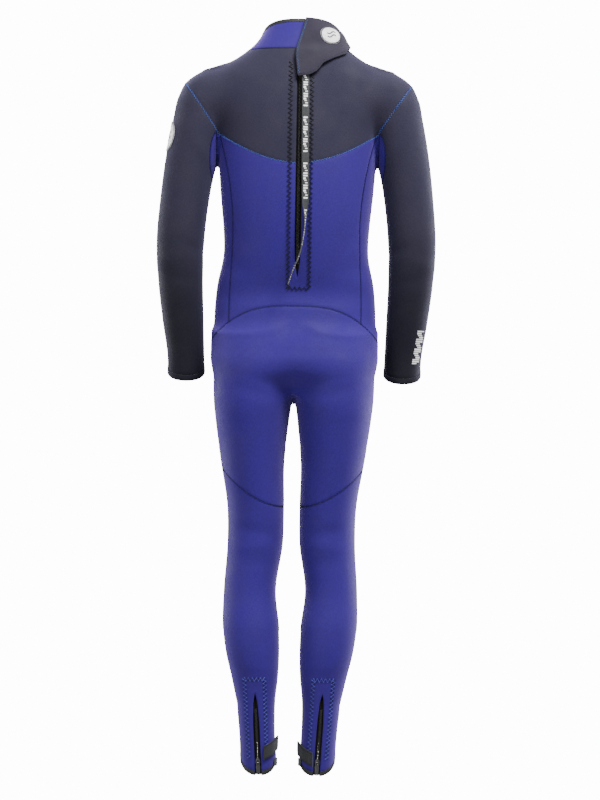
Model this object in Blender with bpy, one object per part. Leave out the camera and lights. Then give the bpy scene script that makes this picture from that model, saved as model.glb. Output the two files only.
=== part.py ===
"""A child's full wetsuit with a back zip, ankle zips and a closing collar flap.

The suit stands upright as worn: the chest faces -Y, the back faces +Y, the wearer's left is +X and
up is +Z. The origin is the centre of the neck, halfway up the collar. Lengths are metres.

One smooth body surface is described by sections of the torso, legs and arms. It is cut along the
suit's seams into panels, and each panel is thickened inwards to the foam's own thickness.
"""

import math

import bmesh
import bpy
import numpy as np
from mathutils import Matrix, Vector

# Foam, tape and webbing
NEOPRENE = 0.0030
SEAM_GAP = 0.0003
BINDING_PROUD = 0.0006
PAD_PROUD = 0.0008
FLAP_THICKNESS = 0.0025
STRAP_THICKNESS = 0.0016

# The centre of the back is one round arc in side view, and the back zip's slider runs round it
ZIP_ARC_RADIUS = 0.600
ZIP_ARC_Y = -0.506
ZIP_ARC_Z = -0.225
LUMBAR_START = -0.375
LUMBAR_END = -0.425

# Torso sections: height, half width, front of the chest, middle of the back
TORSO = (
    (0.090, 0.046, -0.036, 0.020),
    (0.037, 0.050, -0.046, 0.034),
    (0.012, 0.058, -0.050, 0.045),
    (-0.010, 0.074, -0.053, 0.054),
    (-0.030, 0.100, -0.057, 0.062),
    (-0.046, 0.126, -0.060, 0.066),
    (-0.060, 0.146, -0.063, 0.070),
    (-0.080, 0.152, -0.068, 0.076),
    (-0.105, 0.146, -0.074, 0.081),
    (-0.146, 0.130, -0.081, 0.089),
    (-0.190, 0.1245, -0.086, 0.093),
    (-0.240, 0.1208, -0.088, 0.094),
    (-0.300, 0.1150, -0.083, 0.089),
    (-0.330, 0.1137, -0.081, 0.085),
    (-0.392, 0.1245, -0.080, 0.0715),
    (-0.440, 0.1275, -0.082, 0.074),
    (-0.487, 0.1255, -0.082, 0.089),
    (-0.508, 0.1215, -0.079, 0.092),
    (-0.529, 0.1030, -0.068, 0.083),
    (-0.551, 0.0560, -0.040, 0.050),
)
# Leg sections: height, centre from the middle, half width, centre depth, half depth
LEG = (
    (-0.470, 0.0640, 0.0560, 0.004, 0.0700),
    (-0.520, 0.0650, 0.0610, 0.007, 0.0830),
    (-0.565, 0.0645, 0.0612, 0.007, 0.0820),
    (-0.604, 0.0645, 0.0570, 0.005, 0.0770),
    (-0.661, 0.0632, 0.0498, 0.002, 0.0690),
    (-0.737, 0.0570, 0.0441, -0.002, 0.0590),
    (-0.790, 0.0568, 0.0432, -0.003, 0.0535),
    (-0.870, 0.0642, 0.0405, -0.001, 0.0505),
    (-0.926, 0.0612, 0.0438, 0.006, 0.0515),
    (-0.964, 0.0580, 0.0419, 0.008, 0.0492),
    (-1.002, 0.0541, 0.0367, 0.0072, 0.0435),
    (-1.040, 0.0519, 0.0308, 0.0060, 0.0399),
    (-1.078, 0.0497, 0.0284, 0.0040, 0.0386),
    (-1.165, 0.0447, 0.0285, -0.0010, 0.0360),
    (-1.250, 0.0398, 0.0285, -0.0059, 0.0335),
)
# Arm sections, in the same order as the legs'
ARM = (
    (-0.050, 0.1400, 0.010, 0.008, 0.014),
    (-0.066, 0.1450, 0.0290, 0.010, 0.036),
    (-0.090, 0.1500, 0.0385, 0.011, 0.0465),
    (-0.124, 0.1550, 0.0415, 0.011, 0.0495),
    (-0.165, 0.1625, 0.0418, 0.011, 0.0485),
    (-0.250, 0.1763, 0.0388, 0.011, 0.0430),
    (-0.320, 0.1825, 0.0376, 0.009, 0.0415),
    (-0.377, 0.1817, 0.0356, 0.002, 0.0395),
    (-0.440, 0.1774, 0.0328, -0.012, 0.0365),
    (-0.503, 0.1722, 0.0293, -0.026, 0.0330),
    (-0.540, 0.1715, 0.0298, -0.034, 0.0325),
    (-0.620, 0.1700, 0.0300, -0.050, 0.0320),
)
TORSO_SQUARENESS = 2.35
LIMB_SQUARENESS = 2.15
HIP_BLEND = 0.030
CROTCH_BLEND = 0.010
ARMPIT_BLEND = 0.007
SHOULDER_BLEND = 0.034

# Openings, each cut by a tilted plane: height on the plane at depth 0, and its rise per metre of depth
NECK_PLANE = (0.017, 0.40)
CUFF_PLANE = (-0.5396, -0.47)
ANKLE_PLANE = (-1.1331, -0.62)
COLLAR_BINDING = 0.0065
CUFF_HEM = 0.010
ANKLE_BINDING = 0.0075

# Seams
COLLAR_SEAM = -0.0175
COLLAR_FRONT_DROP = 0.030
ARMPIT = (0.1272, -0.1457)
ARMHOLE_OUTWARD = (0.824, -0.567)
GUSSET_CENTRE = (0.128, 0.006, -0.182)
GUSSET_RADII = (0.0130, 0.056, 0.046)
YOKE_SEAM = -0.2000
YOKE_RISE = 0.0500
YOKE_CURVE = 1.85
WAIST_SEAM = -0.4200
WAIST_DROP = 0.0474
SEAM_REACH = 0.126
SHOULDER_SEAM_Y = 0.002
LEG_SEAM_BEHIND = 0.006
KNEE_SEAM = -0.7345
KNEE_SEAM_RISE = 0.0515
KNEE_SEAM_REACH = 0.1036
KNEE_SEAM_CURVE = 2.1
KNEE_PAD_TOP = -0.640
KNEE_PAD_BOTTOM = -0.930
SIDE_SEAM = (
    (-0.100, 0.1400),
    (-0.155, 0.1217),
    (-0.207, 0.1090),
    (-0.277, 0.0995),
    (-0.337, 0.0995),
    (-0.400, 0.1027),
    (-0.480, 0.1030),
)

# Back zip, a little to the wearer's right of the middle
ZIP_X = -0.0025
BACK_SLOT = (
    (0.060, 0.0012),
    (-0.006, 0.0012),
    (-0.016, 0.0050),
    (-0.320, 0.0050),
    (-0.352, 0.0040),
    (-0.378, -0.0001),
    (-0.420, -0.0080),
)
# The opening slants aside through the collar, to close under the flap: how far, from where and over what height
COLLAR_SLANT = (-0.0140, -0.015, 0.020)
BACK_ZIP_TOP = -0.013
BACK_ZIP_BOTTOM = -0.392
BACK_CHAIN_BOTTOM = -0.355
BACK_TAPE_HALF = 0.016
TAPE_SPLIT = 0.0002
BACK_GUARD_HALF = 0.022
BACK_SLIDER_REST = -0.028
BACK_TAB_LENGTH = 0.024
BACK_TAB_HALF = 0.0045
BACK_TAB_LEAN = -0.32
# Ankle zips
ANKLE_SLOT = (
    (-0.990, -0.0060),
    (-1.0245, -0.0001),
    (-1.040, 0.0034),
    (-1.075, 0.0052),
    (-1.250, 0.0052),
)
ANKLE_ZIP_TOP = -1.050
ANKLE_TAPE_HALF = 0.011
ANKLE_SLIDER_REST = -1.1455
ANKLE_TAB_LENGTH = 0.018
ANKLE_TAB_HALF = 0.0036

# Zip hardware below and above the suit's outer surface
TAPE_DEPTH = (-0.0050, -0.0041)
GUARD_DEPTH = (-0.0076, -0.0056)
CHAIN_DEPTH = (-0.0031, -0.0009)
CHAIN_HALF = 0.0026
SLIDER_HALF = 0.0042
SLIDER_LENGTH = 0.014
SLIDER_TOP = 0.0008
SLIDER_CLEARANCE = 0.0004
TAB_THICKNESS = 0.0010
TAB_GAP = 0.0003
ANKLE_HARDWARE_SCALE = 0.80

# Collar flap: its free edge from the top down to its lower corner, then its lower edge to the side
FLAP_OUTLINE = (
    (-0.0115, 0.060),
    (-0.0092, 0.031),
    (-0.0024, 0.004),
    (0.0036, -0.014),
    (0.0058, -0.030),
    (0.0032, -0.053),
    (0.0022, -0.0655),
    (-0.0170, -0.0632),
    (-0.0285, -0.0565),
    (-0.0372, -0.0438),
    (-0.0540, -0.0345),
    (-0.0715, -0.0268),
    (-0.0765, -0.0150),
    (-0.0850, 0.0100),
)
FLAP_HINGE_Y = -0.014
FLAP_SEWN = 0.0013
FLAP_CLEARANCE = 0.0032
FLAP_TONGUE_RISE = 0.0021
FLAP_BRIDGE = 0.0045
FLAP_BRIDGE_HEIGHT = 0.004
FLAP_BRIDGE_SPREAD = 0.013

# Badges: centre on the suit and radius
COLLAR_BADGE = (-0.0425, 0.0350, -0.0024)
COLLAR_BADGE_RADIUS = 0.0165
SLEEVE_BADGE = (0.2050, 0.024, -0.155)
SLEEVE_BADGE_RADIUS = 0.024
BADGE_THICKNESS = 0.0006
BADGE_GAP = 0.0010

# Leash: from the pull tab under the flap, over the upper back, then hanging free. Across and height
LEASH_ROUTE = (
    (-0.0105, -0.0555),
    (-0.0108, -0.075),
    (-0.0114, -0.120),
    (-0.0118, -0.170),
    (-0.0126, -0.215),
    (-0.0134, -0.265),
    (-0.0128, -0.300),
    (-0.0070, -0.336),
    (-0.0023, -0.350),
    (0.0043, -0.3655),
    (0.0116, -0.3880),
)
LEASH_STAND_OFF = 0.0026
LEASH_RADIUS = 0.0018
LEASH_SPACING = 0.009

# Ankle straps. On the wearer's left, then right: the root's height, its distance from the zip's middle
# and the angles at which the strap follows the leg
STRAP_WIDTH = 0.022
STRAP_ROOTS = {1: (-1.1190, 0.0072, (14.0, 32.0, 50.0)), -1: (-1.1285, 0.0057, (11.0, 30.0, 50.0))}
STRAP_RISE = 0.42
STRAP_STAND_OFF = 0.0016
STRAP_FREE_END = 0.013
LOOP_PATCH_ANGLES = (48.0, 64.0, 80.0)
LOOP_PATCH_HEIGHT = -1.136
LOOP_PATCH_WIDTH = 0.012
LOOP_PATCH_OFFSETS = (0.0014, 0.0022)

# Levels of the grid that the body surface is traced through
LEVELS_X = (0.0, 0.022, 0.044, 0.066, 0.088, 0.110, 0.128, 0.1365, 0.154, 0.174, 0.194, 0.214, 0.234)
DEPTH_STEP = 0.022
DEPTH_REACH = 0.132
SNAP = 0.0040
WALL_DIRECTION = (0.61, 0.47, 0.64)

MATERIALS = {
    "black_jersey": ((0.018, 0.018, 0.030), 0.85, 0.0),
    "blue_jersey": ((0.035, 0.035, 0.200), 0.80, 0.0),
    "knee_fabric": ((0.012, 0.012, 0.016), 0.70, 0.0),
    "black_rubber": ((0.010, 0.010, 0.012), 0.60, 0.0),
    "zip_tape": ((0.012, 0.012, 0.014), 0.90, 0.0),
    "zip_coil": ((0.010, 0.010, 0.011), 0.45, 0.0),
    "slider_metal": ((0.060, 0.060, 0.065), 0.35, 1.0),
    "webbing": ((0.055, 0.058, 0.062), 0.85, 0.0),
    "hook_and_loop": ((0.030, 0.031, 0.034), 0.95, 0.0),
    "badge_print": ((0.800, 0.800, 0.800), 0.50, 0.0),
}


# --- the body surface ---------------------------------------------------------------------------


def smooth(t):
    t = np.clip(t, 0.0, 1.0)
    return t * t * (3.0 - 2.0 * t)


def stations(rows):
    table = np.array(sorted(rows))
    return table[:, 0], table[:, 1:], np.gradient(table[:, 1:], table[:, 0], axis=0)


def read(height, table):
    """Each column of a table of sections at these heights, along a smooth curve through its rows."""
    z, value, slope = table
    height = np.clip(height, z[0], z[-1])
    i = np.clip(np.searchsorted(z, height) - 1, 0, len(z) - 2)
    step = (z[i + 1] - z[i])[..., None]
    t = (height - z[i])[..., None] / step
    start = (1 + 2 * t) * (1 - t) ** 2 * value[i] + t * (1 - t) ** 2 * step * slope[i]
    end = t * t * (3 - 2 * t) * value[i + 1] + t * t * (t - 1) * step * slope[i + 1]
    return np.moveaxis(start + end, -1, 0)


TORSO_TABLE = stations(TORSO)
LEG_TABLE = stations(LEG)
ARM_TABLE = stations(ARM)
SIDE_SEAM_TABLE = stations(SIDE_SEAM)


def zip_arc_y(z):
    rise = np.clip(z - ZIP_ARC_Z, -0.4, 0.4)
    return ZIP_ARC_Y + np.sqrt(ZIP_ARC_RADIUS**2 - rise**2)


def section_distance(x, y, wide, deep, squareness):
    """Roughly how far a point lies outside a rounded section, measured across it."""
    reach = np.hypot(x, y) + 1e-6
    share = (np.abs(x / wide) ** squareness + np.abs(y / deep) ** squareness) ** (1 / squareness)
    return reach - reach / (share + 1e-6)


def blended(a, b, radius):
    """The union of two shapes, with the valley between them filled to this radius."""
    overlap = np.maximum(radius - np.abs(a - b), 0) / radius
    return np.minimum(a, b) - overlap * overlap * radius / 4


def torso(p):
    x, y, z = p.T
    wide, front, back = read(z, TORSO_TABLE)
    on_arc = smooth((z - LUMBAR_END) / (LUMBAR_START - LUMBAR_END))
    back = back + (zip_arc_y(z) - back) * on_arc
    body = section_distance(x, y - (front + back) / 2, wide, (back - front) / 2, TORSO_SQUARENESS)
    return np.maximum(body, TORSO[-1][0] - z)


def limb(p, table, side):
    x, y, z = p.T
    centre, wide, depth, deep = read(z, table)
    tube = section_distance(side * x - centre, y - depth, wide, deep, LIMB_SQUARENESS)
    return np.maximum(tube, z - table[0][-1])


def body(p):
    """Below zero inside the suit's outer surface, above zero outside it."""
    legs = blended(limb(p, LEG_TABLE, 1), limb(p, LEG_TABLE, -1), CROTCH_BLEND)
    arms = np.minimum(limb(p, ARM_TABLE, 1), limb(p, ARM_TABLE, -1))
    shoulder = smooth((p[:, 2] + 0.16) / 0.07)
    radius = ARMPIT_BLEND + (SHOULDER_BLEND - ARMPIT_BLEND) * shoulder
    return blended(blended(torso(p), legs, HIP_BLEND), arms, radius)


def gradient(p, field, step=0.0005):
    slope = np.empty_like(p)
    for axis in range(3):
        move = np.zeros(3)
        move[axis] = step
        slope[:, axis] = (field(p + move) - field(p - move)) / (2 * step)
    return slope


def outward(p):
    slope = gradient(p, body)
    return slope / np.linalg.norm(slope, axis=1)[:, None]


def on_surface(p, rounds=4):
    for _ in range(rounds):
        slope = gradient(p, body)
        p = p - (body(p) / np.maximum((slope * slope).sum(1), 1e-6))[:, None] * slope
    return p


def traced_surface(axes):
    """The body's surface as quads: one point in each grid cell that the surface crosses."""
    grid = np.stack(np.meshgrid(*axes, indexing="ij"), -1)
    value = body(grid.reshape(-1, 3)).reshape(grid.shape[:3])
    cells = np.array(value.shape) - 1
    total = np.zeros((*cells, 3))
    hits = np.zeros(cells)
    rings = []
    for axis in range(3):
        u, v = (axis + 1) % 3, (axis + 2) % 3
        first = np.take(value, range(cells[axis]), axis)
        second = np.take(value, range(1, cells[axis] + 1), axis)
        where = np.array(np.nonzero((first < 0) != (second < 0)))
        a, b = first[tuple(where)], second[tuple(where)]
        point = grid[tuple(where)].copy()
        beyond = where.copy()
        beyond[axis] += 1
        point += (a / (a - b))[:, None] * (grid[tuple(beyond)] - point)
        inside = (where[u] > 0) & (where[v] > 0) & (where[u] < cells[u]) & (where[v] < cells[v])
        where, point, a = where[:, inside], point[inside], a[inside]
        ring = []
        for back_u, back_v in ((1, 1), (0, 1), (0, 0), (1, 0)):
            cell = where.copy()
            cell[u] -= back_u
            cell[v] -= back_v
            np.add.at(total, tuple(cell), point)
            np.add.at(hits, tuple(cell), 1)
            ring.append(np.ravel_multi_index(tuple(cell), tuple(cells)))
        ring = np.array(ring).T
        rings.append(np.where((a < 0)[:, None], ring, ring[:, ::-1]))
    used, quads = np.unique(np.concatenate(rings), return_inverse=True)
    points = total.reshape(-1, 3)[used] / hits.reshape(-1)[used][:, None]
    return on_surface(points), quads.reshape(-1, 4)


def steps(start, end, step):
    count = round(abs(end - start) / step)
    return [start + (end - start) * i / count for i in range(count)]


def grid_axes():
    """Fine levels at the neck, crotch and ankles, and coarse ones where the suit is nearly a tube."""
    across = [-x for x in LEVELS_X[:0:-1]] + list(LEVELS_X)
    deep = np.arange(-DEPTH_REACH, DEPTH_REACH + DEPTH_STEP / 2, DEPTH_STEP) + DEPTH_STEP / 3
    high = steps(-1.230, -1.090, 0.028) + steps(-1.090, -0.600, 0.045) + steps(-0.600, -0.540, 0.015)
    high += steps(-0.540, -0.240, 0.040) + steps(-0.240, -0.060, 0.026) + steps(-0.060, 0.080, 0.0140)
    return np.array(across), deep, np.array(high + [0.080])


def mesh_of(points, faces):
    bm = bmesh.new()
    vertices = [bm.verts.new(p) for p in points]
    for face in faces:
        bm.faces.new([vertices[i] for i in face])
    bm.normal_update()
    return bm


# --- seams: each is a field that is zero along the seam -------------------------------------------


def neck_edge(p):
    return p[:, 2] - NECK_PLANE[0] - NECK_PLANE[1] * p[:, 1]


def cuff_edge(p):
    return p[:, 2] - CUFF_PLANE[0] - CUFF_PLANE[1] * p[:, 1]


def ankle_edge(p):
    return p[:, 2] - ANKLE_PLANE[0] - ANKLE_PLANE[1] * p[:, 1]


def collar_seam(p):
    return p[:, 2] - COLLAR_SEAM + COLLAR_FRONT_DROP * smooth((0.010 - p[:, 1]) / 0.060)


def armhole(p):
    out = np.abs(p[:, 0]) - ARMPIT[0]
    slanted = ARMHOLE_OUTWARD[0] * out + ARMHOLE_OUTWARD[1] * (p[:, 2] - ARMPIT[1])
    below = out - 0.035 * smooth((-0.200 - p[:, 2]) / 0.300) * 0.28
    return np.minimum(slanted, below)


def gusset_seam(p):
    away = np.stack([np.abs(p[:, 0]), p[:, 1], p[:, 2]], 1) - GUSSET_CENTRE
    return np.linalg.norm(away / GUSSET_RADII, axis=1) - 1.0


def yoke_seam(p):
    return p[:, 2] - YOKE_SEAM - YOKE_RISE * (np.abs(p[:, 0]) / SEAM_REACH) ** YOKE_CURVE


def waist_seam(p):
    return p[:, 2] - WAIST_SEAM + WAIST_DROP * (np.abs(p[:, 0]) / SEAM_REACH) ** 3


def side_seam(p):
    return np.abs(p[:, 0]) - read(p[:, 2], SIDE_SEAM_TABLE)[0]


def shoulder_seam(p):
    return p[:, 1] - SHOULDER_SEAM_Y


def leg_seam(p):
    return p[:, 1] - read(p[:, 2], LEG_TABLE)[2] - LEG_SEAM_BEHIND


def knee_seam(p):
    return p[:, 2] - KNEE_SEAM - KNEE_SEAM_RISE * (np.abs(p[:, 0]) / KNEE_SEAM_REACH) ** KNEE_SEAM_CURVE


def slot(rows, p, centre):
    """Below zero inside a zip's opening, whose half width follows these rows straight from one to the next."""
    table = np.array(sorted(rows))
    return np.abs(p[:, 0] - centre) - np.interp(p[:, 2], table[:, 0], table[:, 1])


def slot_middle(z):
    reach, low, tall = COLLAR_SLANT
    return ZIP_X + reach * smooth((z - low) / tall)


def off_slot_middle(p):
    return p[:, 0] - slot_middle(p[:, 2])


def back_slot(p):
    return slot(BACK_SLOT, p, slot_middle(p[:, 2]))


def leg_centre(z):
    return read(z, LEG_TABLE)[0]


def off_leg_centre(p):
    return np.abs(p[:, 0]) - leg_centre(p[:, 2])


def ankle_slot(p):
    return slot(ANKLE_SLOT, p, np.sign(p[:, 0]) * leg_centre(p[:, 2]))


def height(level):
    return lambda p: p[:, 2] - level


def middle(p):
    return p[:, 0]


# Where each region of the suit lies
def on_arm(p):
    return armhole(p) > -1e-6


def on_trunk(p):
    return ~on_arm(p) & (collar_seam(p) < 1e-6)


def above_yoke(p):
    return on_trunk(p) & (yoke_seam(p) > -1e-6)


def below_yoke(p):
    return on_trunk(p) & (yoke_seam(p) < 1e-6)


def round_ribs(p):
    return below_yoke(p) & (waist_seam(p) > -1e-6)


def below_waist(p):
    return ~on_arm(p) & (waist_seam(p) < 1e-6)


def behind(p):
    return p[:, 1] > 0.0


PANELS = (
    ("collar_binding", lambda p: neck_edge(p) > -COLLAR_BINDING, "black_rubber", BINDING_PROUD),
    ("collar", lambda p: collar_seam(p) > 0, "blue_jersey", 0.0),
    ("cuff_hem", lambda p: on_arm(p) & (cuff_edge(p) < CUFF_HEM), "black_jersey", BINDING_PROUD),
    ("underarm_gusset", lambda p: on_arm(p) & (gusset_seam(p) < 0), "blue_jersey", 0.0),
    ("sleeve", on_arm, "black_jersey", 0.0),
    ("ankle_binding", lambda p: ankle_edge(p) < ANKLE_BINDING, "black_rubber", BINDING_PROUD),
    ("back_yoke", lambda p: above_yoke(p) & (shoulder_seam(p) > 0), "black_jersey", 0.0),
    ("chest_panel", above_yoke, "black_jersey", 0.0),
    ("side_panel", lambda p: round_ribs(p) & (side_seam(p) > 0), "blue_jersey", 0.0),
    ("back_panel", lambda p: round_ribs(p) & behind(p), "blue_jersey", 0.0),
    ("front_panel", round_ribs, "black_jersey", 0.0),
    ("seat_panel", lambda p: (leg_seam(p) > 0) & (knee_seam(p) > 0), "blue_jersey", 0.0),
    ("calf_panel", lambda p: leg_seam(p) > 0, "blue_jersey", 0.0),
    ("front_thigh", lambda p: p[:, 2] > KNEE_PAD_TOP, "black_jersey", 0.0),
    ("knee_pad", lambda p: p[:, 2] > KNEE_PAD_BOTTOM, "knee_fabric", PAD_PROUD),
    ("shin_panel", lambda p: p[:, 2] < KNEE_PAD_BOTTOM, "black_jersey", 0.0),
)
ONE_PIECE = ("collar_binding", "collar", "chest_panel", "back_panel", "front_panel", "seat_panel")


# --- cutting and thickening ----------------------------------------------------------------------


def positions(bm):
    return np.array([v.co for v in bm.verts])


def pulled(points, seam):
    """These points moved along the body's surface onto the seam."""
    for _ in range(3):
        slope = gradient(points, seam)
        share = seam(points) / np.maximum((slope * slope).sum(1), 1e-6)
        points = on_surface(points - share[:, None] * slope, 2)
    return points


def score(bm, seam, within=None, snap=SNAP):
    """Cuts the mesh's faces along a seam, inside a region, and pulls points close to the seam onto it."""
    bm.verts.ensure_lookup_table()
    bm.verts.index_update()
    points = positions(bm)
    value = seam(points)
    slope = gradient(points, seam)
    steepness = np.maximum(np.linalg.norm(slope, axis=1), 1e-6)
    inside = np.ones(len(points), bool) if within is None else within(points)
    near = (np.abs(value / steepness) < snap) & inside & (steepness > 1e-3)
    value[near] = 0.0
    line = [bm.verts[i] for i in np.nonzero(near)[0]]
    if line:
        for vertex, place in zip(line, pulled(points[near], seam)):
            vertex.co = place
    edges = [e for e in bm.edges if value[e.verts[0].index] * value[e.verts[1].index] < 0]
    if edges:
        a = np.array([value[e.verts[0].index] for e in edges])
        b = np.array([value[e.verts[1].index] for e in edges])
        ends = np.array([[v.co for v in e.verts] for e in edges])
        share = a / (a - b)
        crossing = ends[:, 0] + share[:, None] * (ends[:, 1] - ends[:, 0])
        wanted = np.ones(len(edges), bool) if within is None else within(crossing)
        for edge, at, cut in zip(edges, share, wanted):
            if cut:
                line.append(bmesh.utils.edge_split(edge, edge.verts[0], at)[1])
    bmesh.ops.connect_verts(bm, verts=line, check_degenerate=False)


def drop(bm, unwanted):
    """Deletes the faces whose middles the test picks."""
    bm.faces.ensure_lookup_table()
    middles = np.array([f.calc_center_median() for f in bm.faces])
    faces = [bm.faces[i] for i in np.nonzero(unwanted(middles))[0]]
    bmesh.ops.delete(bm, geom=faces, context="FACES")


def tidy(bm):
    bmesh.ops.remove_doubles(bm, verts=bm.verts, dist=0.0011)
    bmesh.ops.dissolve_degenerate(bm, edges=bm.edges, dist=0.0002)


def cut_body():
    """The whole surface, open at the neck, cuffs, ankles and zips, and scored along every seam."""
    bm = mesh_of(*traced_surface(grid_axes()))
    low_arm = lambda p: on_arm(p) & (p[:, 2] < -0.40)
    ankle = lambda p: p[:, 2] < -0.95
    score(bm, neck_edge, lambda p: p[:, 2] > -0.03)
    score(bm, cuff_edge, low_arm)
    score(bm, ankle_edge, ankle)
    drop(bm, lambda p: neck_edge(p) > 0)
    drop(bm, lambda p: low_arm(p) & (cuff_edge(p) < 0))
    drop(bm, lambda p: ankle(p) & (ankle_edge(p) < 0))
    score(bm, lambda p: neck_edge(p) + COLLAR_BINDING, lambda p: p[:, 2] > -0.04)
    score(bm, collar_seam, lambda p: p[:, 2] > -0.06)
    score(bm, armhole, lambda p: p[:, 2] > -0.26)
    score(bm, lambda p: cuff_edge(p) - CUFF_HEM, low_arm)
    score(bm, gusset_seam, on_arm)
    score(bm, lambda p: ankle_edge(p) - ANKLE_BINDING, ankle)
    score(bm, yoke_seam, on_trunk)
    score(bm, waist_seam, on_trunk)
    score(bm, shoulder_seam, above_yoke)
    score(bm, side_seam, round_ribs)
    score(bm, leg_seam, below_waist)
    score(bm, knee_seam, lambda p: below_waist(p) & (leg_seam(p) > -1e-6))
    in_front = lambda p: below_waist(p) & (leg_seam(p) < 1e-6)
    score(bm, middle, lambda p: in_front(p) & (p[:, 2] > -0.62))
    score(bm, height(KNEE_PAD_TOP), in_front)
    score(bm, height(KNEE_PAD_BOTTOM), in_front)
    spine = lambda p: behind(p) & (p[:, 2] > -0.380)
    heel = lambda p: behind(p) & (p[:, 2] < -1.022)
    score(bm, off_slot_middle, spine)
    score(bm, off_leg_centre, heel)
    score(bm, back_slot, spine, snap=0.0006)
    score(bm, ankle_slot, heel, snap=0.0006)
    drop(bm, lambda p: spine(p) & (back_slot(p) < 0))
    drop(bm, lambda p: heel(p) & (ankle_slot(p) < 0))
    tidy(bm)
    return bm


def piece_of(bm, keep):
    """A new mesh of the faces that are listed."""
    copy = bm.copy()
    copy.faces.ensure_lookup_table()
    kept = set(keep)
    bmesh.ops.delete(copy, geom=[f for f in copy.faces if f.index not in kept], context="FACES")
    return copy


def draw_in(bm, amount):
    """Moves the border inwards along the surface, so that neighbours keep a gap."""
    shift = {}
    for edge in bm.edges:
        if not edge.is_boundary:
            continue
        face = edge.link_faces[0]
        along = (edge.verts[1].co - edge.verts[0].co).normalized()
        inward = face.normal.cross(along)
        if inward.dot(face.calc_center_median() - edge.verts[0].co) < 0:
            inward = -inward
        for vertex in edge.verts:
            shift.setdefault(vertex, []).append(inward)
    for vertex, directions in shift.items():
        total = sum(directions, Vector())
        if total.length > 1e-4:
            mitre = 1.0 / max(0.17, total.length / len(directions))
            vertex.co += total.normalized() * amount * mitre


def thicken(bm, lowest, highest):
    """Makes the sheet a closed solid between two offsets, numbers or functions, from the surface."""
    bmesh.ops.triangulate(bm, faces=bm.faces)
    bm.verts.index_update()
    points = positions(bm)
    normal = outward(points)
    low = lowest(points) if callable(lowest) else np.full(len(points), lowest)
    high = highest(points) if callable(highest) else np.full(len(points), highest)
    border = [(loop.vert.index, loop.link_loop_next.vert.index) for face in bm.faces
              for loop in face.loops if loop.edge.is_boundary]
    faces = [[v.index for v in face.verts] for face in bm.faces]
    count = len(points)
    bm.free()
    shell = np.concatenate([points + normal * high[:, None], points + normal * low[:, None]])
    inner = [[i + count for i in reversed(face)] for face in faces]
    order = points @ WALL_DIRECTION
    walls = []
    for a, b in border:
        # Two panels split their facing walls along the same diagonal, so that twisted walls still match
        if order[a] < order[b]:
            walls += [(b, a, b + count), (a, a + count, b + count)]
        else:
            walls += [(b, a, a + count), (b, a + count, b + count)]
    return mesh_of(shell, faces + inner + walls)


def finish_object(name, bm, material, pivot=(0.0, 0.0, 0.0)):
    """Makes the named object, with its origin at the pivot."""
    bmesh.ops.translate(bm, verts=bm.verts, vec=-Vector(pivot))
    data = bpy.data.meshes.new(name)
    bm.to_mesh(data)
    bm.free()
    data.shade_smooth()
    data.set_sharp_from_angle(angle=math.radians(50))
    data.materials.append(material)
    obj = bpy.data.objects.new(name, data)
    obj.location = pivot
    bpy.context.scene.collection.objects.link(obj)
    return obj


def make_panels(bm, materials):
    bm.faces.ensure_lookup_table()
    bm.faces.index_update()
    middles = np.array([f.calc_center_median() for f in bm.faces])
    free = np.ones(len(middles), bool)
    for name, test, material, proud in PANELS:
        chosen = free & test(middles)
        free &= ~chosen
        halves = (("", chosen),)
        if name not in ONE_PIECE:
            halves = (("_left", chosen & (middles[:, 0] > 0)), ("_right", chosen & (middles[:, 0] < 0)))
        for suffix, faces in halves:
            panel = piece_of(bm, np.nonzero(faces)[0])
            draw_in(panel, SEAM_GAP / 2)
            solid = thicken(panel, -NEOPRENE, proud)
            finish_object(name + suffix, solid, materials[material])


def patch(bm, seams, keep, lowest, highest):
    """A sheet lying on the body: scored along its outline, kept where the test says, and thickened."""
    sheet = bm.copy()
    for seam, within in seams:
        score(sheet, seam, within, snap=0.0006)
    drop(sheet, lambda p: ~keep(p))
    bmesh.ops.remove_doubles(sheet, verts=sheet.verts, dist=0.0004)
    return thicken(sheet, lowest, highest)


# --- swept and boxed shapes -----------------------------------------------------------------------


def loft(sections):
    """A closed solid through equal rings of points, with flat ends."""
    bm = bmesh.new()
    rings = [[bm.verts.new(point) for point in section] for section in sections]
    size = len(rings[0])
    for first, second in zip(rings, rings[1:]):
        for i in range(size):
            j = (i + 1) % size
            bm.faces.new((first[i], first[j], second[j], second[i]))
    bm.faces.new(reversed(rings[0]))
    bm.faces.new(rings[-1])
    bmesh.ops.recalc_face_normals(bm, faces=bm.faces)
    return bm


def back_frame(z):
    """The back zip's place at this height: a point on the arc, and the ways out, across and up."""
    angle = math.asin((z - ZIP_ARC_Z) / ZIP_ARC_RADIUS)
    out = Vector((0.0, math.cos(angle), math.sin(angle)))
    up = Vector((0.0, -math.sin(angle), math.cos(angle)))
    centre = Vector((ZIP_X, ZIP_ARC_Y, ZIP_ARC_Z))
    return centre + out * ZIP_ARC_RADIUS, out, Vector((1.0, 0.0, 0.0)), up


def leg_back(z):
    centre, _, depth, deep = read(np.array([z]), LEG_TABLE)[:, 0]
    return centre, depth + deep


def ankle_frame(side, z):
    """An ankle zip's place at this height, along the straight line down the back of the ankle."""
    low_z, high_z = ANKLE_SLIDER_REST, ANKLE_ZIP_TOP - 0.010
    low, high = leg_back(low_z), leg_back(high_z)
    bottom = Vector((side * low[0], low[1], low_z))
    top = Vector((side * high[0], high[1], high_z))
    up = (top - bottom).normalized()
    across = Vector((0.0, 1.0, 0.0)).cross(up).normalized()
    out = up.cross(across).normalized()
    return bottom + up * ((z - low_z) / up.z), out, across, up


def bar(frames, profile):
    """A bar whose section is a list of (across, out) points, through a list of frames."""
    sections = []
    for centre, out, across, _ in frames:
        sections.append([centre + across * a + out * o for a, o in profile])
    return loft(sections)


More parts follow.
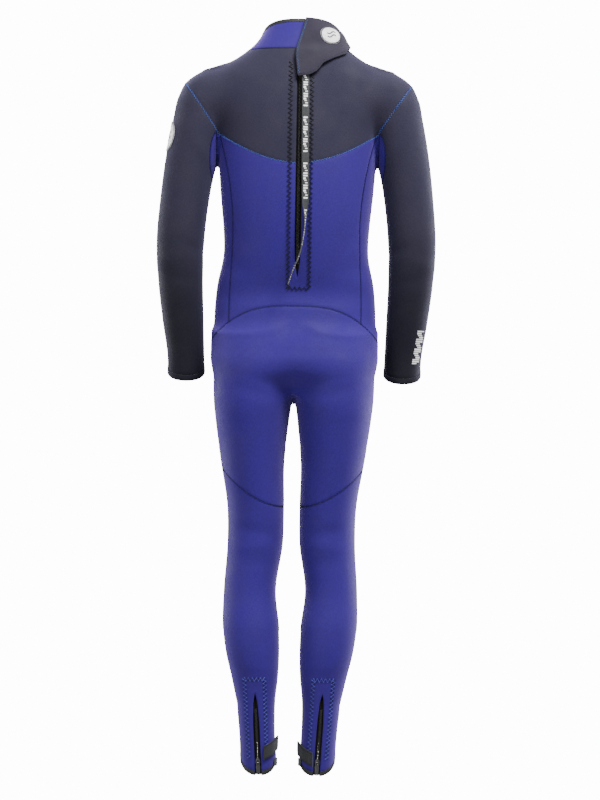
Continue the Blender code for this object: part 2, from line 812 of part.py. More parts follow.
def channel(scale):
    """The section of a zip slider: a roof over the chain, with a wall down each side of it."""
    half, inner = SLIDER_HALF * scale, CHAIN_HALF * scale + SLIDER_CLEARANCE
    roof, ceiling = SLIDER_TOP * scale, CHAIN_DEPTH[1] + SLIDER_CLEARANCE
    foot = CHAIN_DEPTH[0] + SLIDER_CLEARANCE / 2
    return ((-half, foot), (-inner, foot), (-inner, ceiling), (inner, ceiling), (inner, foot),
            (half, foot), (half, roof * 0.4), (half * 0.7, roof), (-half * 0.7, roof), (-half, roof * 0.4))


def straight_frames(frame, *heights):
    """Frames displaced along one frame's own up direction."""
    centre, out, across, up = frame
    return [(centre + up * h, out, across, up) for h in heights]


def rectangle(half, low, high):
    return ((-half, low), (half, low), (half, high), (-half, high))


def tab(frame, half, reach, lean=0.0):
    """A pull tab: a flat tongue with a round end, from the slider's bridge."""
    centre, out, across, up = frame
    along = (up * math.copysign(1.0, reach) + across * lean).normalized()
    cross = along.cross(out).normalized()
    face = out * TAB_THICKNESS
    sections = []
    for share, width in ((0.0, 0.55), (0.12, 0.75), (0.45, 0.90), (0.80, 1.0), (0.93, 0.82), (1.0, 0.45)):
        middle_point = centre + along * abs(reach) * share
        side_step = cross * half * width
        ring = [middle_point - side_step, middle_point + side_step,
                middle_point + side_step + face, middle_point - side_step + face]
        sections.append(ring)
    return loft(sections)


# --- pieces ---------------------------------------------------------------------------------------


def make_back_zip(base, materials):
    high, low = BACK_ZIP_TOP, BACK_ZIP_BOTTOM
    spine = lambda p: behind(p) & (np.abs(p[:, 0]) < 0.05) & (p[:, 2] < 0.01) & (p[:, 2] > -0.42)
    ends = [(height(high), spine), (height(low), spine)]
    for side, name in ((1, "back_zip_tape_left"), (-1, "back_zip_tape_right")):
        aside = lambda p: (p[:, 0] - ZIP_X) * side
        edges = ends + [(lambda p: aside(p) - TAPE_SPLIT, spine), (lambda p: aside(p) - BACK_TAPE_HALF, spine)]
        keep = lambda p: (spine(p) & (p[:, 2] < high) & (p[:, 2] > low)
                          & (aside(p) > TAPE_SPLIT) & (aside(p) < BACK_TAPE_HALF))
        tape = patch(base, edges, keep, *TAPE_DEPTH)
        finish_object(name, tape, materials["zip_tape"])
    edge = lambda p: np.abs(p[:, 0] - ZIP_X) - BACK_GUARD_HALF
    edges = ends + [(middle, spine), (edge, spine)]
    keep = lambda p: spine(p) & (p[:, 2] < high) & (p[:, 2] > low) & (edge(p) < 0)
    finish_object("back_zip_guard", patch(base, edges, keep, *GUARD_DEPTH), materials["black_jersey"])

    frames = [back_frame(z) for z in np.linspace(BACK_CHAIN_BOTTOM, high - 0.002, 25)]
    finish_object("back_zip_chain", bar(frames, rectangle(CHAIN_HALF, *CHAIN_DEPTH)), materials["zip_coil"])

    pivot = (ZIP_X, ZIP_ARC_Y, ZIP_ARC_Z)
    rest = back_frame(BACK_SLIDER_REST)
    slider = bar(straight_frames(rest, -SLIDER_LENGTH / 2, SLIDER_LENGTH / 2), channel(1.0))
    finish_object("back_zip_slider", slider, materials["slider_metal"], pivot)
    centre, out, across, up = rest
    start = (centre + out * (SLIDER_TOP + TAB_GAP), out, across, up)
    finish_object("back_pull_tab", tab(start, BACK_TAB_HALF, -BACK_TAB_LENGTH, BACK_TAB_LEAN),
                  materials["slider_metal"], pivot)


def smooth_route(points, spacing):
    """Points at an even spacing along a smooth curve through these."""
    points = np.array(points)
    padded = np.vstack([2 * points[0] - points[1], points, 2 * points[-1] - points[-2]])
    fine = []
    for i in range(1, len(padded) - 2):
        a, b, c, d = padded[i - 1:i + 3]
        for t in np.linspace(0, 1, 24, endpoint=False):
            fine.append(0.5 * (2 * b + (c - a) * t + (2 * a - 5 * b + 4 * c - d) * t**2
                               + (3 * b - a - 3 * c + d) * t**3))
    fine = np.array(fine + [points[-1]])
    length = np.concatenate([[0], np.cumsum(np.linalg.norm(np.diff(fine, axis=0), axis=1))])
    wanted = np.linspace(0, length[-1], max(2, round(length[-1] / spacing)) + 1)
    return np.stack([np.interp(wanted, length, fine[:, k]) for k in range(3)], 1)


def leash_points():
    """The leash lies just off the back down to its rearmost point, then hangs straight down."""
    route = []
    for x, z in LEASH_ROUTE:
        depth = zip_arc_y(max(z, ZIP_ARC_Z)) + LEASH_STAND_OFF
        route.append((x, float(depth), z))
    return smooth_route(route, LEASH_SPACING)


def make_leash(materials):
    points = leash_points()
    curve = bpy.data.curves.new("zip_leash", "CURVE")
    curve.dimensions = "3D"
    curve.bevel_depth = LEASH_RADIUS
    curve.bevel_resolution = 2
    curve.use_fill_caps = True
    spline = curve.splines.new("POLY")
    spline.points.add(len(points) - 1)
    for target, point in zip(spline.points, points):
        target.co = (*point, 1.0)
    curve.materials.append(materials["webbing"])
    leash = bpy.data.objects.new("zip_leash", curve)
    bpy.context.scene.collection.objects.link(leash)


def flap_field(p):
    """Below zero inside the flap's outline, seen from behind."""
    outline = np.array(FLAP_OUTLINE)
    along = outline[1:] - outline[:-1]
    away = p[:, None, ::2] - outline[None, :-1]
    share = np.clip((away * along).sum(2) / (along * along).sum(1), 0, 1)
    gap = away - share[..., None] * along
    distance = np.linalg.norm(gap, axis=2)
    nearest = distance.argmin(1)
    pick = np.arange(len(p))
    turn = along[nearest, 0] * away[pick, nearest, 1] - along[nearest, 1] * away[pick, nearest, 0]
    return distance[pick, nearest] * np.where(turn > 0, 1.0, -1.0)


def flap_lift(p):
    """How far the flap's inner face stands off the collar: sewn down at its side, loose over the zip."""
    from_hinge = smooth((p[:, 1] - FLAP_HINGE_Y) / 0.014)
    over_zip = smooth((-0.012 - p[:, 2]) / 0.015) * smooth((0.060 + p[:, 0]) / 0.025)
    hollow = np.exp(-(((p[:, 2] - FLAP_BRIDGE_HEIGHT) / FLAP_BRIDGE_SPREAD) ** 2))
    bridge = FLAP_BRIDGE * hollow * from_hinge * smooth(-p[:, 0] / 0.050)
    return FLAP_SEWN + (FLAP_CLEARANCE - FLAP_SEWN) * from_hinge + FLAP_TONGUE_RISE * over_zip + bridge


def flap_axis():
    """Two points on the line that the flap folds about, down the wearer's right side of the neck."""
    ends = []
    for z in (-0.012, 0.020):
        x = -read(np.array([z]), TORSO_TABLE)[0, 0]
        ends.append(Vector((x - 0.0016, FLAP_HINGE_Y - 0.001, z)))
    return ends


def make_flap(whole, materials):
    nape = lambda p: (p[:, 1] > FLAP_HINGE_Y - 0.006) & (p[:, 2] > -0.08) & (np.abs(p[:, 0]) < 0.10)
    top = lambda p: neck_edge(p) + 0.0005
    edges = [(flap_field, nape), (top, nape), (lambda p: p[:, 1] - FLAP_HINGE_Y, nape)]
    keep = lambda p: nape(p) & (flap_field(p) < 0) & (p[:, 1] > FLAP_HINGE_Y) & (neck_edge(p) < -0.0005)
    pivot = flap_axis()[0]
    flap = patch(whole, edges, keep, flap_lift, lambda p: flap_lift(p) + FLAP_THICKNESS)
    finish_object("collar_flap", flap, materials["black_jersey"], pivot)


def disc_patch(whole, near_point, radius, lowest, highest):
    """A round sheet on the body, centred on the surface point next to this one."""
    centre = on_surface(np.array([near_point]))[0]
    away = lambda p: np.linalg.norm(p - centre, axis=1)
    edge = [(lambda p: away(p) - radius, lambda p: away(p) < 2 * radius)]
    return patch(whole, edge, lambda p: away(p) < radius, lowest, highest)


def make_badges(whole, materials):
    lift = lambda p: flap_lift(p) + FLAP_THICKNESS + BADGE_GAP
    badge = disc_patch(whole, COLLAR_BADGE, COLLAR_BADGE_RADIUS, lift, lambda p: lift(p) + BADGE_THICKNESS)
    finish_object("collar_badge", badge, materials["badge_print"], flap_axis()[0])
    badge = disc_patch(whole, SLEEVE_BADGE, SLEEVE_BADGE_RADIUS, BADGE_GAP, BADGE_GAP + BADGE_THICKNESS)
    finish_object("sleeve_badge", badge, materials["badge_print"])


def leg_point(side, z, angle):
    """A point on the lower leg and its outward direction, at an angle from the back to the inner side."""
    centre, wide, depth, deep = read(np.array([z]), LEG_TABLE)[:, 0]
    across, out = -side * math.sin(math.radians(angle)), math.cos(math.radians(angle))
    share = (abs(across / wide) ** LIMB_SQUARENESS + abs(out / deep) ** LIMB_SQUARENESS)
    reach = share ** (-1 / LIMB_SQUARENESS)
    point = np.array([side * centre + reach * across, depth + reach * out, z])
    return Vector(point), Vector(outward(point[None])[0])


def strap_axis(side):
    """Two points on the line that the strap turns about, beside the zip."""
    height_of_root, aside, wrap = STRAP_ROOTS[side]
    centre, out, across, up = ankle_frame(side, height_of_root)
    place = centre - across * side * aside + out * (STRAP_STAND_OFF + STRAP_THICKNESS / 2)
    return place, up


def make_strap(side, name, materials):
    """The strap leaves the zip's inner edge, follows the leg round and ends free, clear of the leg."""
    sections = []
    travelled = 0.0
    last = None
    height_of_root, aside, wrap = STRAP_ROOTS[side]
    for angle in wrap:
        point, out = leg_point(side, height_of_root, angle)
        if last is not None:
            travelled += (point - last).length
        last = point
        place = point + Vector((0.0, 0.0, travelled * STRAP_RISE))
        sections.append((place + out * STRAP_STAND_OFF, out))
    direction = (sections[-1][0] - sections[-2][0]).normalized()
    final_place, final_out = sections[-1]
    for reach in (0.5, 1.0):
        sections.append((final_place + direction * STRAP_FREE_END * reach, final_out))
    rings = []
    half = Vector((0.0, 0.0, STRAP_WIDTH / 2))
    for place, out in sections:
        flat = Vector((out.x, out.y, 0.0)).normalized() * STRAP_THICKNESS
        rings.append([place - half, place + half, place + half + flat, place - half + flat])
    finish_object(name, loft(rings), materials["hook_and_loop"], strap_axis(side)[0])


def make_loop_patch(side, name, materials):
    rings = []
    for angle in LOOP_PATCH_ANGLES:
        point, out = leg_point(side, LOOP_PATCH_HEIGHT, angle)
        half = Vector((0.0, 0.0, LOOP_PATCH_WIDTH / 2))
        low, high = (point + out * offset for offset in LOOP_PATCH_OFFSETS)
        rings.append([low - half, low + half, high + half, high - half])
    finish_object(name, loft(rings), materials["hook_and_loop"])


def make_ankle_zip(base, side, label, materials):
    high = ANKLE_ZIP_TOP + 0.014
    leg = lambda p: behind(p) & (p[:, 0] * side > 0) & (p[:, 2] < high + 0.02)
    aside = lambda p: (p[:, 0] - side * leg_centre(p[:, 2])) * side
    end = lambda p: ankle_edge(p) - 0.0010
    for sign, edge_name in ((1, "outer"), (-1, "inner")):
        edges = [(height(high), leg), (end, leg), (lambda p: aside(p) * sign - 0.0002, leg),
                 (lambda p: aside(p) * sign - ANKLE_TAPE_HALF, leg)]
        keep = lambda p: (leg(p) & (p[:, 2] < high) & (end(p) > 0) & (aside(p) * sign > 0.0002)
                          & (aside(p) * sign < ANKLE_TAPE_HALF))
        tape = patch(base, edges, keep, *TAPE_DEPTH)
        finish_object(f"ankle_zip_tape_{edge_name}_{label}", tape, materials["zip_tape"])
    chain_low = ANKLE_SLIDER_REST - 0.008
    frames = [ankle_frame(side, z) for z in (chain_low, ANKLE_ZIP_TOP)]
    section = rectangle(CHAIN_HALF * ANKLE_HARDWARE_SCALE, *CHAIN_DEPTH)
    finish_object(f"ankle_zip_chain_{label}", bar(frames, section), materials["zip_coil"])
    rest = ankle_frame(side, ANKLE_SLIDER_REST)
    half_length = SLIDER_LENGTH * ANKLE_HARDWARE_SCALE / 2
    slider = bar(straight_frames(rest, -half_length, half_length), channel(ANKLE_HARDWARE_SCALE))
    finish_object(f"ankle_zip_slider_{label}", slider, materials["slider_metal"], rest[0])
    centre, out, across, up = rest
    start = centre + out * (SLIDER_TOP * ANKLE_HARDWARE_SCALE + TAB_GAP)
    tongue = tab((start, out, across, up), ANKLE_TAB_HALF, ANKLE_TAB_LENGTH)
    pivot = start + out * TAB_THICKNESS / 2
    finish_object(f"ankle_pull_tab_{label}", tongue, materials["slider_metal"], pivot)
    make_strap(side, f"ankle_strap_{label}", materials)
    make_loop_patch(side, f"ankle_loop_patch_{label}", materials)


def make_materials():
    made = {}
    for name, (colour, roughness, metallic) in MATERIALS.items():
        material = bpy.data.materials.new(name)
        material.use_nodes = True
        shader = material.node_tree.nodes["Principled BSDF"]
        shader.inputs["Base Color"].default_value = (*colour, 1.0)
        shader.inputs["Roughness"].default_value = roughness
        shader.inputs["Metallic"].default_value = metallic
        made[name] = material
    return made


def main():
    for obj in list(bpy.data.objects):
        bpy.data.objects.remove(obj, do_unlink=True)
    materials = make_materials()
    whole = mesh_of(*traced_surface(grid_axes()))
    make_panels(cut_body(), materials)
    make_back_zip(whole, materials)
    make_leash(materials)
    make_flap(whole, materials)
    make_badges(whole, materials)
    for side, label in ((1, "left"), (-1, "right")):
        make_ankle_zip(whole, side, label, materials)
    whole.free()


main()
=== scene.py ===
"""The looks of a child's full wetsuit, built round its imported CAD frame.

The panels are cut from the same smooth body surface as the CAD's, at a finer step, and each seam,
stitch, tooth and badge is a shape of its own. Lengths are metres, +Z is up and the back faces +Y.
"""

import math

import bmesh
import bpy
import numpy as np
from mathutils import Matrix, Vector


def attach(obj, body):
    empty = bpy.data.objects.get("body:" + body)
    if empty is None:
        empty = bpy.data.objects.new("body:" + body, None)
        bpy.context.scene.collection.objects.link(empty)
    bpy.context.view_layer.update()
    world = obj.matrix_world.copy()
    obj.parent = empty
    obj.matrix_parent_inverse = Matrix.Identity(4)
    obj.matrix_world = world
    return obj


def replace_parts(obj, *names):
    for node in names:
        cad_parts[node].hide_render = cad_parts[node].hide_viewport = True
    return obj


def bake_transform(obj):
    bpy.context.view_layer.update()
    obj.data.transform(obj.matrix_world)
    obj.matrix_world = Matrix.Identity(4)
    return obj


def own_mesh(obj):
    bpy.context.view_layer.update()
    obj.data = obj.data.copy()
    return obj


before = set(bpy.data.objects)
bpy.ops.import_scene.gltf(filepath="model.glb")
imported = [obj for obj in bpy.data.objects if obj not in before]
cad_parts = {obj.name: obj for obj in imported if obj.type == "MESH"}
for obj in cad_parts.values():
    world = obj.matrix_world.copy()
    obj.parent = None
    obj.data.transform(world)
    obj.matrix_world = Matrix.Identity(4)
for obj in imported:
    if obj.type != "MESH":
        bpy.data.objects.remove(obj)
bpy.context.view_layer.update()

# Foam, tape and webbing
NEOPRENE = 0.0030
BINDING_PROUD = 0.0006
PAD_PROUD = 0.0008
FLAP_THICKNESS = 0.0025
STRAP_THICKNESS = 0.0016

# The centre of the back is one round arc in side view, and the back zip's slider runs round it
ZIP_ARC_RADIUS = 0.600
ZIP_ARC_Y = -0.506
ZIP_ARC_Z = -0.225
LUMBAR_START = -0.375
LUMBAR_END = -0.425

# Torso sections: height, half width, front of the chest, middle of the back
TORSO = (
    (0.090, 0.046, -0.036, 0.020),
    (0.037, 0.050, -0.046, 0.034),
    (0.012, 0.058, -0.050, 0.045),
    (-0.010, 0.074, -0.053, 0.054),
    (-0.030, 0.100, -0.057, 0.062),
    (-0.046, 0.126, -0.060, 0.066),
    (-0.060, 0.146, -0.063, 0.070),
    (-0.080, 0.152, -0.068, 0.076),
    (-0.105, 0.146, -0.074, 0.081),
    (-0.146, 0.130, -0.081, 0.089),
    (-0.190, 0.1245, -0.086, 0.093),
    (-0.240, 0.1208, -0.088, 0.094),
    (-0.300, 0.1150, -0.083, 0.089),
    (-0.330, 0.1137, -0.081, 0.085),
    (-0.392, 0.1245, -0.080, 0.0715),
    (-0.440, 0.1275, -0.082, 0.074),
    (-0.487, 0.1255, -0.082, 0.089),
    (-0.508, 0.1215, -0.079, 0.092),
    (-0.529, 0.1030, -0.068, 0.083),
    (-0.551, 0.0560, -0.040, 0.050),
)
# Leg sections: height, centre from the middle, half width, centre depth, half depth
LEG = (
    (-0.470, 0.0640, 0.0560, 0.004, 0.0700),
    (-0.520, 0.0650, 0.0610, 0.007, 0.0830),
    (-0.565, 0.0645, 0.0612, 0.007, 0.0820),
    (-0.604, 0.0645, 0.0570, 0.005, 0.0770),
    (-0.661, 0.0632, 0.0498, 0.002, 0.0690),
    (-0.737, 0.0570, 0.0441, -0.002, 0.0590),
    (-0.790, 0.0568, 0.0432, -0.003, 0.0535),
    (-0.870, 0.0642, 0.0405, -0.001, 0.0505),
    (-0.926, 0.0612, 0.0438, 0.006, 0.0515),
    (-0.964, 0.0580, 0.0419, 0.008, 0.0492),
    (-1.002, 0.0541, 0.0367, 0.0072, 0.0435),
    (-1.040, 0.0519, 0.0308, 0.0060, 0.0399),
    (-1.078, 0.0497, 0.0284, 0.0040, 0.0386),
    (-1.165, 0.0447, 0.0285, -0.0010, 0.0360),
    (-1.250, 0.0398, 0.0285, -0.0059, 0.0335),
)
# Arm sections, in the same order as the legs'
ARM = (
    (-0.050, 0.1400, 0.010, 0.008, 0.014),
    (-0.066, 0.1450, 0.0290, 0.010, 0.036),
    (-0.090, 0.1500, 0.0385, 0.011, 0.0465),
    (-0.124, 0.1550, 0.0415, 0.011, 0.0495),
    (-0.165, 0.1625, 0.0418, 0.011, 0.0485),
    (-0.250, 0.1763, 0.0388, 0.011, 0.0430),
    (-0.320, 0.1825, 0.0376, 0.009, 0.0415),
    (-0.377, 0.1817, 0.0356, 0.002, 0.0395),
    (-0.440, 0.1774, 0.0328, -0.012, 0.0365),
    (-0.503, 0.1722, 0.0293, -0.026, 0.0330),
    (-0.540, 0.1715, 0.0298, -0.034, 0.0325),
    (-0.620, 0.1700, 0.0300, -0.050, 0.0320),
)
TORSO_SQUARENESS = 2.35
LIMB_SQUARENESS = 2.15
HIP_BLEND = 0.030
CROTCH_BLEND = 0.010
ARMPIT_BLEND = 0.007
SHOULDER_BLEND = 0.034

# Openings, each cut by a tilted plane: height on the plane at depth 0, and its rise per metre of depth
NECK_PLANE = (0.017, 0.40)
CUFF_PLANE = (-0.5396, -0.47)
ANKLE_PLANE = (-1.1331, -0.62)
COLLAR_BINDING = 0.0065
CUFF_HEM = 0.010
ANKLE_BINDING = 0.0075

# Seams
COLLAR_SEAM = -0.0175
COLLAR_FRONT_DROP = 0.030
ARMPIT = (0.1272, -0.1457)
ARMHOLE_OUTWARD = (0.824, -0.567)
GUSSET_CENTRE = (0.128, 0.006, -0.182)
GUSSET_RADII = (0.0130, 0.056, 0.046)
YOKE_SEAM = -0.2000
YOKE_RISE = 0.0500
YOKE_CURVE = 1.85
WAIST_SEAM = -0.4200
WAIST_DROP = 0.0474
SEAM_REACH = 0.126
SHOULDER_SEAM_Y = 0.002
LEG_SEAM_BEHIND = 0.006
KNEE_SEAM = -0.7345
KNEE_SEAM_RISE = 0.0515
KNEE_SEAM_REACH = 0.1036
KNEE_SEAM_CURVE = 2.1
KNEE_PAD_TOP = -0.640
KNEE_PAD_BOTTOM = -0.930
SIDE_SEAM = (
    (-0.100, 0.1400),
    (-0.155, 0.1217),
    (-0.207, 0.1090),
    (-0.277, 0.0995),
    (-0.337, 0.0995),
    (-0.400, 0.1027),
    (-0.480, 0.1030),
)

# Back zip, a little to the wearer's right of the middle
ZIP_X = -0.0025
BACK_SLOT = (
    (0.060, 0.0012),
    (-0.006, 0.0012),
    (-0.016, 0.0050),
    (-0.320, 0.0050),
    (-0.352, 0.0040),
    (-0.378, -0.0001),
    (-0.420, -0.0080),
)
# The opening slants aside through the collar, to close under the flap: how far, from where and
# over what height
COLLAR_SLANT = (-0.0140, -0.015, 0.020)
BACK_ZIP_TOP = -0.013
BACK_ZIP_BOTTOM = -0.392
BACK_CHAIN_BOTTOM = -0.355
BACK_TAPE_HALF = 0.016
TAPE_SPLIT = 0.0002
BACK_GUARD_HALF = 0.022
BACK_SLIDER_REST = -0.028
BACK_TAB_LENGTH = 0.024
BACK_TAB_HALF = 0.0045
BACK_TAB_LEAN = -0.32
# Ankle zips
ANKLE_SLOT = (
    (-0.990, -0.0060),
    (-1.0245, -0.0001),
    (-1.040, 0.0034),
    (-1.075, 0.0052),
    (-1.250, 0.0052),
)
ANKLE_ZIP_TOP = -1.050
ANKLE_TAPE_HALF = 0.011
ANKLE_SLIDER_REST = -1.1455
ANKLE_TAB_LENGTH = 0.018
ANKLE_TAB_HALF = 0.0036

# Zip hardware below and above the suit's outer surface
TAPE_DEPTH = (-0.0050, -0.0041)
GUARD_DEPTH = (-0.0076, -0.0056)
CHAIN_DEPTH = (-0.0031, -0.0009)
CHAIN_HALF = 0.0026
SLIDER_HALF = 0.0042
SLIDER_LENGTH = 0.014
SLIDER_TOP = 0.0008
SLIDER_CLEARANCE = 0.0004
TAB_THICKNESS = 0.0010
TAB_GAP = 0.0003
ANKLE_HARDWARE_SCALE = 0.80

# Collar flap: its free edge from the top down to its lower corner, then its lower edge to the side
FLAP_OUTLINE = (
    (-0.0115, 0.060),
    (-0.0092, 0.031),
    (-0.0024, 0.004),
    (0.0036, -0.014),
    (0.0058, -0.030),
    (0.0032, -0.053),
    (0.0022, -0.0655),
    (-0.0170, -0.0632),
    (-0.0285, -0.0565),
    (-0.0372, -0.0438),
    (-0.0540, -0.0345),
    (-0.0715, -0.0268),
    (-0.0765, -0.0150),
    (-0.0850, 0.0100),
)
FLAP_HINGE_Y = -0.014
FLAP_SEWN = 0.0013
FLAP_CLEARANCE = 0.0032
FLAP_TONGUE_RISE = 0.0021
FLAP_BRIDGE = 0.0045
FLAP_BRIDGE_HEIGHT = 0.004
FLAP_BRIDGE_SPREAD = 0.013

# Badges: centre on the suit and radius
COLLAR_BADGE = (-0.0425, 0.0350, -0.0024)
COLLAR_BADGE_RADIUS = 0.0165
SLEEVE_BADGE = (0.2050, 0.024, -0.155)
SLEEVE_BADGE_RADIUS = 0.024
BADGE_THICKNESS = 0.0006

# Leash: from the pull tab under the flap, over the upper back, then hanging free. Across and height
LEASH_ROUTE = (
    (-0.0105, -0.0555),
    (-0.0108, -0.075),
    (-0.0114, -0.120),
    (-0.0118, -0.170),
    (-0.0126, -0.215),
    (-0.0134, -0.265),
    (-0.0128, -0.300),
    (-0.0070, -0.336),
    (-0.0023, -0.350),
    (0.0043, -0.3655),
    (0.0116, -0.3880),
)
LEASH_STAND_OFF = 0.0026
LEASH_SPACING = 0.009

# Ankle straps. On the wearer's left, then right: the root's height, its distance from the zip's middle
# and the angles at which the strap follows the leg
STRAP_WIDTH = 0.022
STRAP_ROOTS = {1: (-1.1190, 0.0072, (14.0, 32.0, 50.0)), -1: (-1.1285, 0.0057, (11.0, 30.0, 50.0))}
STRAP_RISE = 0.42
STRAP_STAND_OFF = 0.0016
STRAP_FREE_END = 0.013
LOOP_PATCH_ANGLES = (48.0, 64.0, 80.0)
LOOP_PATCH_HEIGHT = -1.136
LOOP_PATCH_WIDTH = 0.012
LOOP_PATCH_OFFSETS = (0.0014, 0.0022)


def smooth(t):
    t = np.clip(t, 0.0, 1.0)
    return t * t * (3.0 - 2.0 * t)


def stations(rows):
    table = np.array(sorted(rows))
    return table[:, 0], table[:, 1:], np.gradient(table[:, 1:], table[:, 0], axis=0)


def read(height, table):
    """Each column of a table of sections at these heights, along a smooth curve through its rows."""
    z, value, slope = table
    height = np.clip(height, z[0], z[-1])
    i = np.clip(np.searchsorted(z, height) - 1, 0, len(z) - 2)
    step = (z[i + 1] - z[i])[..., None]
    t = (height - z[i])[..., None] / step
    start = (1 + 2 * t) * (1 - t) ** 2 * value[i] + t * (1 - t) ** 2 * step * slope[i]
    end = t * t * (3 - 2 * t) * value[i + 1] + t * t * (t - 1) * step * slope[i + 1]
    return np.moveaxis(start + end, -1, 0)


TORSO_TABLE = stations(TORSO)
LEG_TABLE = stations(LEG)
ARM_TABLE = stations(ARM)
SIDE_SEAM_TABLE = stations(SIDE_SEAM)


def zip_arc_y(z):
    rise = np.clip(z - ZIP_ARC_Z, -0.4, 0.4)
    return ZIP_ARC_Y + np.sqrt(ZIP_ARC_RADIUS**2 - rise**2)


def section_distance(x, y, wide, deep, squareness):
    """Roughly how far a point lies outside a rounded section, measured across it."""
    reach = np.hypot(x, y) + 1e-6
    share = (np.abs(x / wide) ** squareness + np.abs(y / deep) ** squareness) ** (1 / squareness)
    return reach - reach / (share + 1e-6)


def blended(a, b, radius):
    """The union of two shapes, with the valley between them filled to this radius."""
    overlap = np.maximum(radius - np.abs(a - b), 0) / radius
    return np.minimum(a, b) - overlap * overlap * radius / 4


def torso(p):
    x, y, z = p.T
    wide, front, back = read(z, TORSO_TABLE)
    on_arc = smooth((z - LUMBAR_END) / (LUMBAR_START - LUMBAR_END))
    back = back + (zip_arc_y(z) - back) * on_arc
    body = section_distance(x, y - (front + back) / 2, wide, (back - front) / 2, TORSO_SQUARENESS)
    return np.maximum(body, TORSO[-1][0] - z)


def limb(p, table, side):
    x, y, z = p.T
    centre, wide, depth, deep = read(z, table)
    tube = section_distance(side * x - centre, y - depth, wide, deep, LIMB_SQUARENESS)
    return np.maximum(tube, z - table[0][-1])


def plain_body(p):
    legs = blended(limb(p, LEG_TABLE, 1), limb(p, LEG_TABLE, -1), CROTCH_BLEND)
    arms = np.minimum(limb(p, ARM_TABLE, 1), limb(p, ARM_TABLE, -1))
    shoulder = smooth((p[:, 2] + 0.16) / 0.07)
    radius = ARMPIT_BLEND + (SHOULDER_BLEND - ARMPIT_BLEND) * shoulder
    return blended(blended(torso(p), legs, HIP_BLEND), arms, radius)


# Soft folds: centre on the wearer's left, tilt, half length, half width and height
FOLDS = (
    (0.057, 0.055, -0.772, 8, 0.034, 0.010, -0.0013),
    (0.062, 0.050, -0.797, -7, 0.030, 0.009, 0.0009),
    (0.050, 0.050, -0.822, 5, 0.026, 0.010, -0.0008),
    (0.066, 0.085, -0.552, 14, 0.044, 0.013, -0.0017),
    (0.090, 0.060, -0.585, 20, 0.030, 0.012, 0.0010),
    (0.158, 0.035, -0.332, 24, 0.022, 0.009, -0.0012),
    (0.196, 0.035, -0.350, -14, 0.026, 0.010, 0.0011),
    (0.180, 0.040, -0.378, 8, 0.030, 0.010, -0.0010),
    (0.152, 0.045, -0.176, 58, 0.032, 0.009, 0.0012),
    (0.137, 0.052, -0.214, 64, 0.036, 0.011, -0.0011),
    (0.100, 0.060, -0.362, 12, 0.036, 0.014, -0.0012),
    (0.104, 0.058, -0.330, 18, 0.030, 0.012, 0.0008),
    (0.052, 0.045, -0.985, 6, 0.028, 0.010, 0.0008),
    (0.080, 0.010, -1.045, -10, 0.024, 0.009, -0.0008),
)


def folds(p):
    total = np.zeros(len(p))
    q = np.abs(p[:, 0])
    for x, y, z, tilt, long, wide, height_of in FOLDS:
        c, s = math.cos(math.radians(tilt)), math.sin(math.radians(tilt))
        along = (q - x) * c + (p[:, 2] - z) * s
        across = (p[:, 2] - z) * c - (q - x) * s
        near = np.exp(-(((p[:, 1] - y) / 0.045) ** 2))
        total += height_of * near * np.exp(-((along / long) ** 2) - (across / wide) ** 2)
    return total


def body(p):
    """Below zero inside the suit's outer surface, above zero outside it."""
    return plain_body(p) - folds(p)


def gradient(p, field, step=0.0005):
    slope = np.empty_like(p)
    for axis in range(3):
        move = np.zeros(3)
        move[axis] = step
        slope[:, axis] = (field(p + move) - field(p - move)) / (2 * step)
    return slope


def outward(p):
    slope = gradient(p, body)
    return slope / np.linalg.norm(slope, axis=1)[:, None]


def on_surface(p, rounds=4):
    for _ in range(rounds):
        slope = gradient(p, body)
        p = p - (body(p) / np.maximum((slope * slope).sum(1), 1e-6))[:, None] * slope
    return p


def traced_surface(axes):
    """The body's surface as quads: one point in each grid cell that the surface crosses."""
    grid = np.stack(np.meshgrid(*axes, indexing="ij"), -1)
    value = body(grid.reshape(-1, 3)).reshape(grid.shape[:3])
    cells = np.array(value.shape) - 1
    total = np.zeros((*cells, 3))
    hits = np.zeros(cells)
    rings = []
    for axis in range(3):
        u, v = (axis + 1) % 3, (axis + 2) % 3
        first = np.take(value, range(cells[axis]), axis)
        second = np.take(value, range(1, cells[axis] + 1), axis)
        where = np.array(np.nonzero((first < 0) != (second < 0)))
        a, b = first[tuple(where)], second[tuple(where)]
        point = grid[tuple(where)].copy()
        beyond = where.copy()
        beyond[axis] += 1
        point += (a / (a - b))[:, None] * (grid[tuple(beyond)] - point)
        inside = (where[u] > 0) & (where[v] > 0) & (where[u] < cells[u]) & (where[v] < cells[v])
        where, point, a = where[:, inside], point[inside], a[inside]
        ring = []
        for back_u, back_v in ((1, 1), (0, 1), (0, 0), (1, 0)):
            cell = where.copy()
            cell[u] -= back_u
            cell[v] -= back_v
            np.add.at(total, tuple(cell), point)
            np.add.at(hits, tuple(cell), 1)
            ring.append(np.ravel_multi_index(tuple(cell), tuple(cells)))
        ring = np.array(ring).T
        rings.append(np.where((a < 0)[:, None], ring, ring[:, ::-1]))
    used, quads = np.unique(np.concatenate(rings), return_inverse=True)
    points = total.reshape(-1, 3)[used] / hits.reshape(-1)[used][:, None]
    return on_surface(points), quads.reshape(-1, 4)


def mesh_of(points, faces):
    bm = bmesh.new()
    vertices = [bm.verts.new(p) for p in points]
    for face in faces:
        bm.faces.new([vertices[i] for i in face])
    bm.normal_update()
    return bm


# --- seams: each is a field that is zero along the seam -------------------------------------------


def tilted(plane):
    return lambda p: p[:, 2] - plane[0] - plane[1] * p[:, 1]


neck_edge, cuff_edge, ankle_edge = tilted(NECK_PLANE), tilted(CUFF_PLANE), tilted(ANKLE_PLANE)


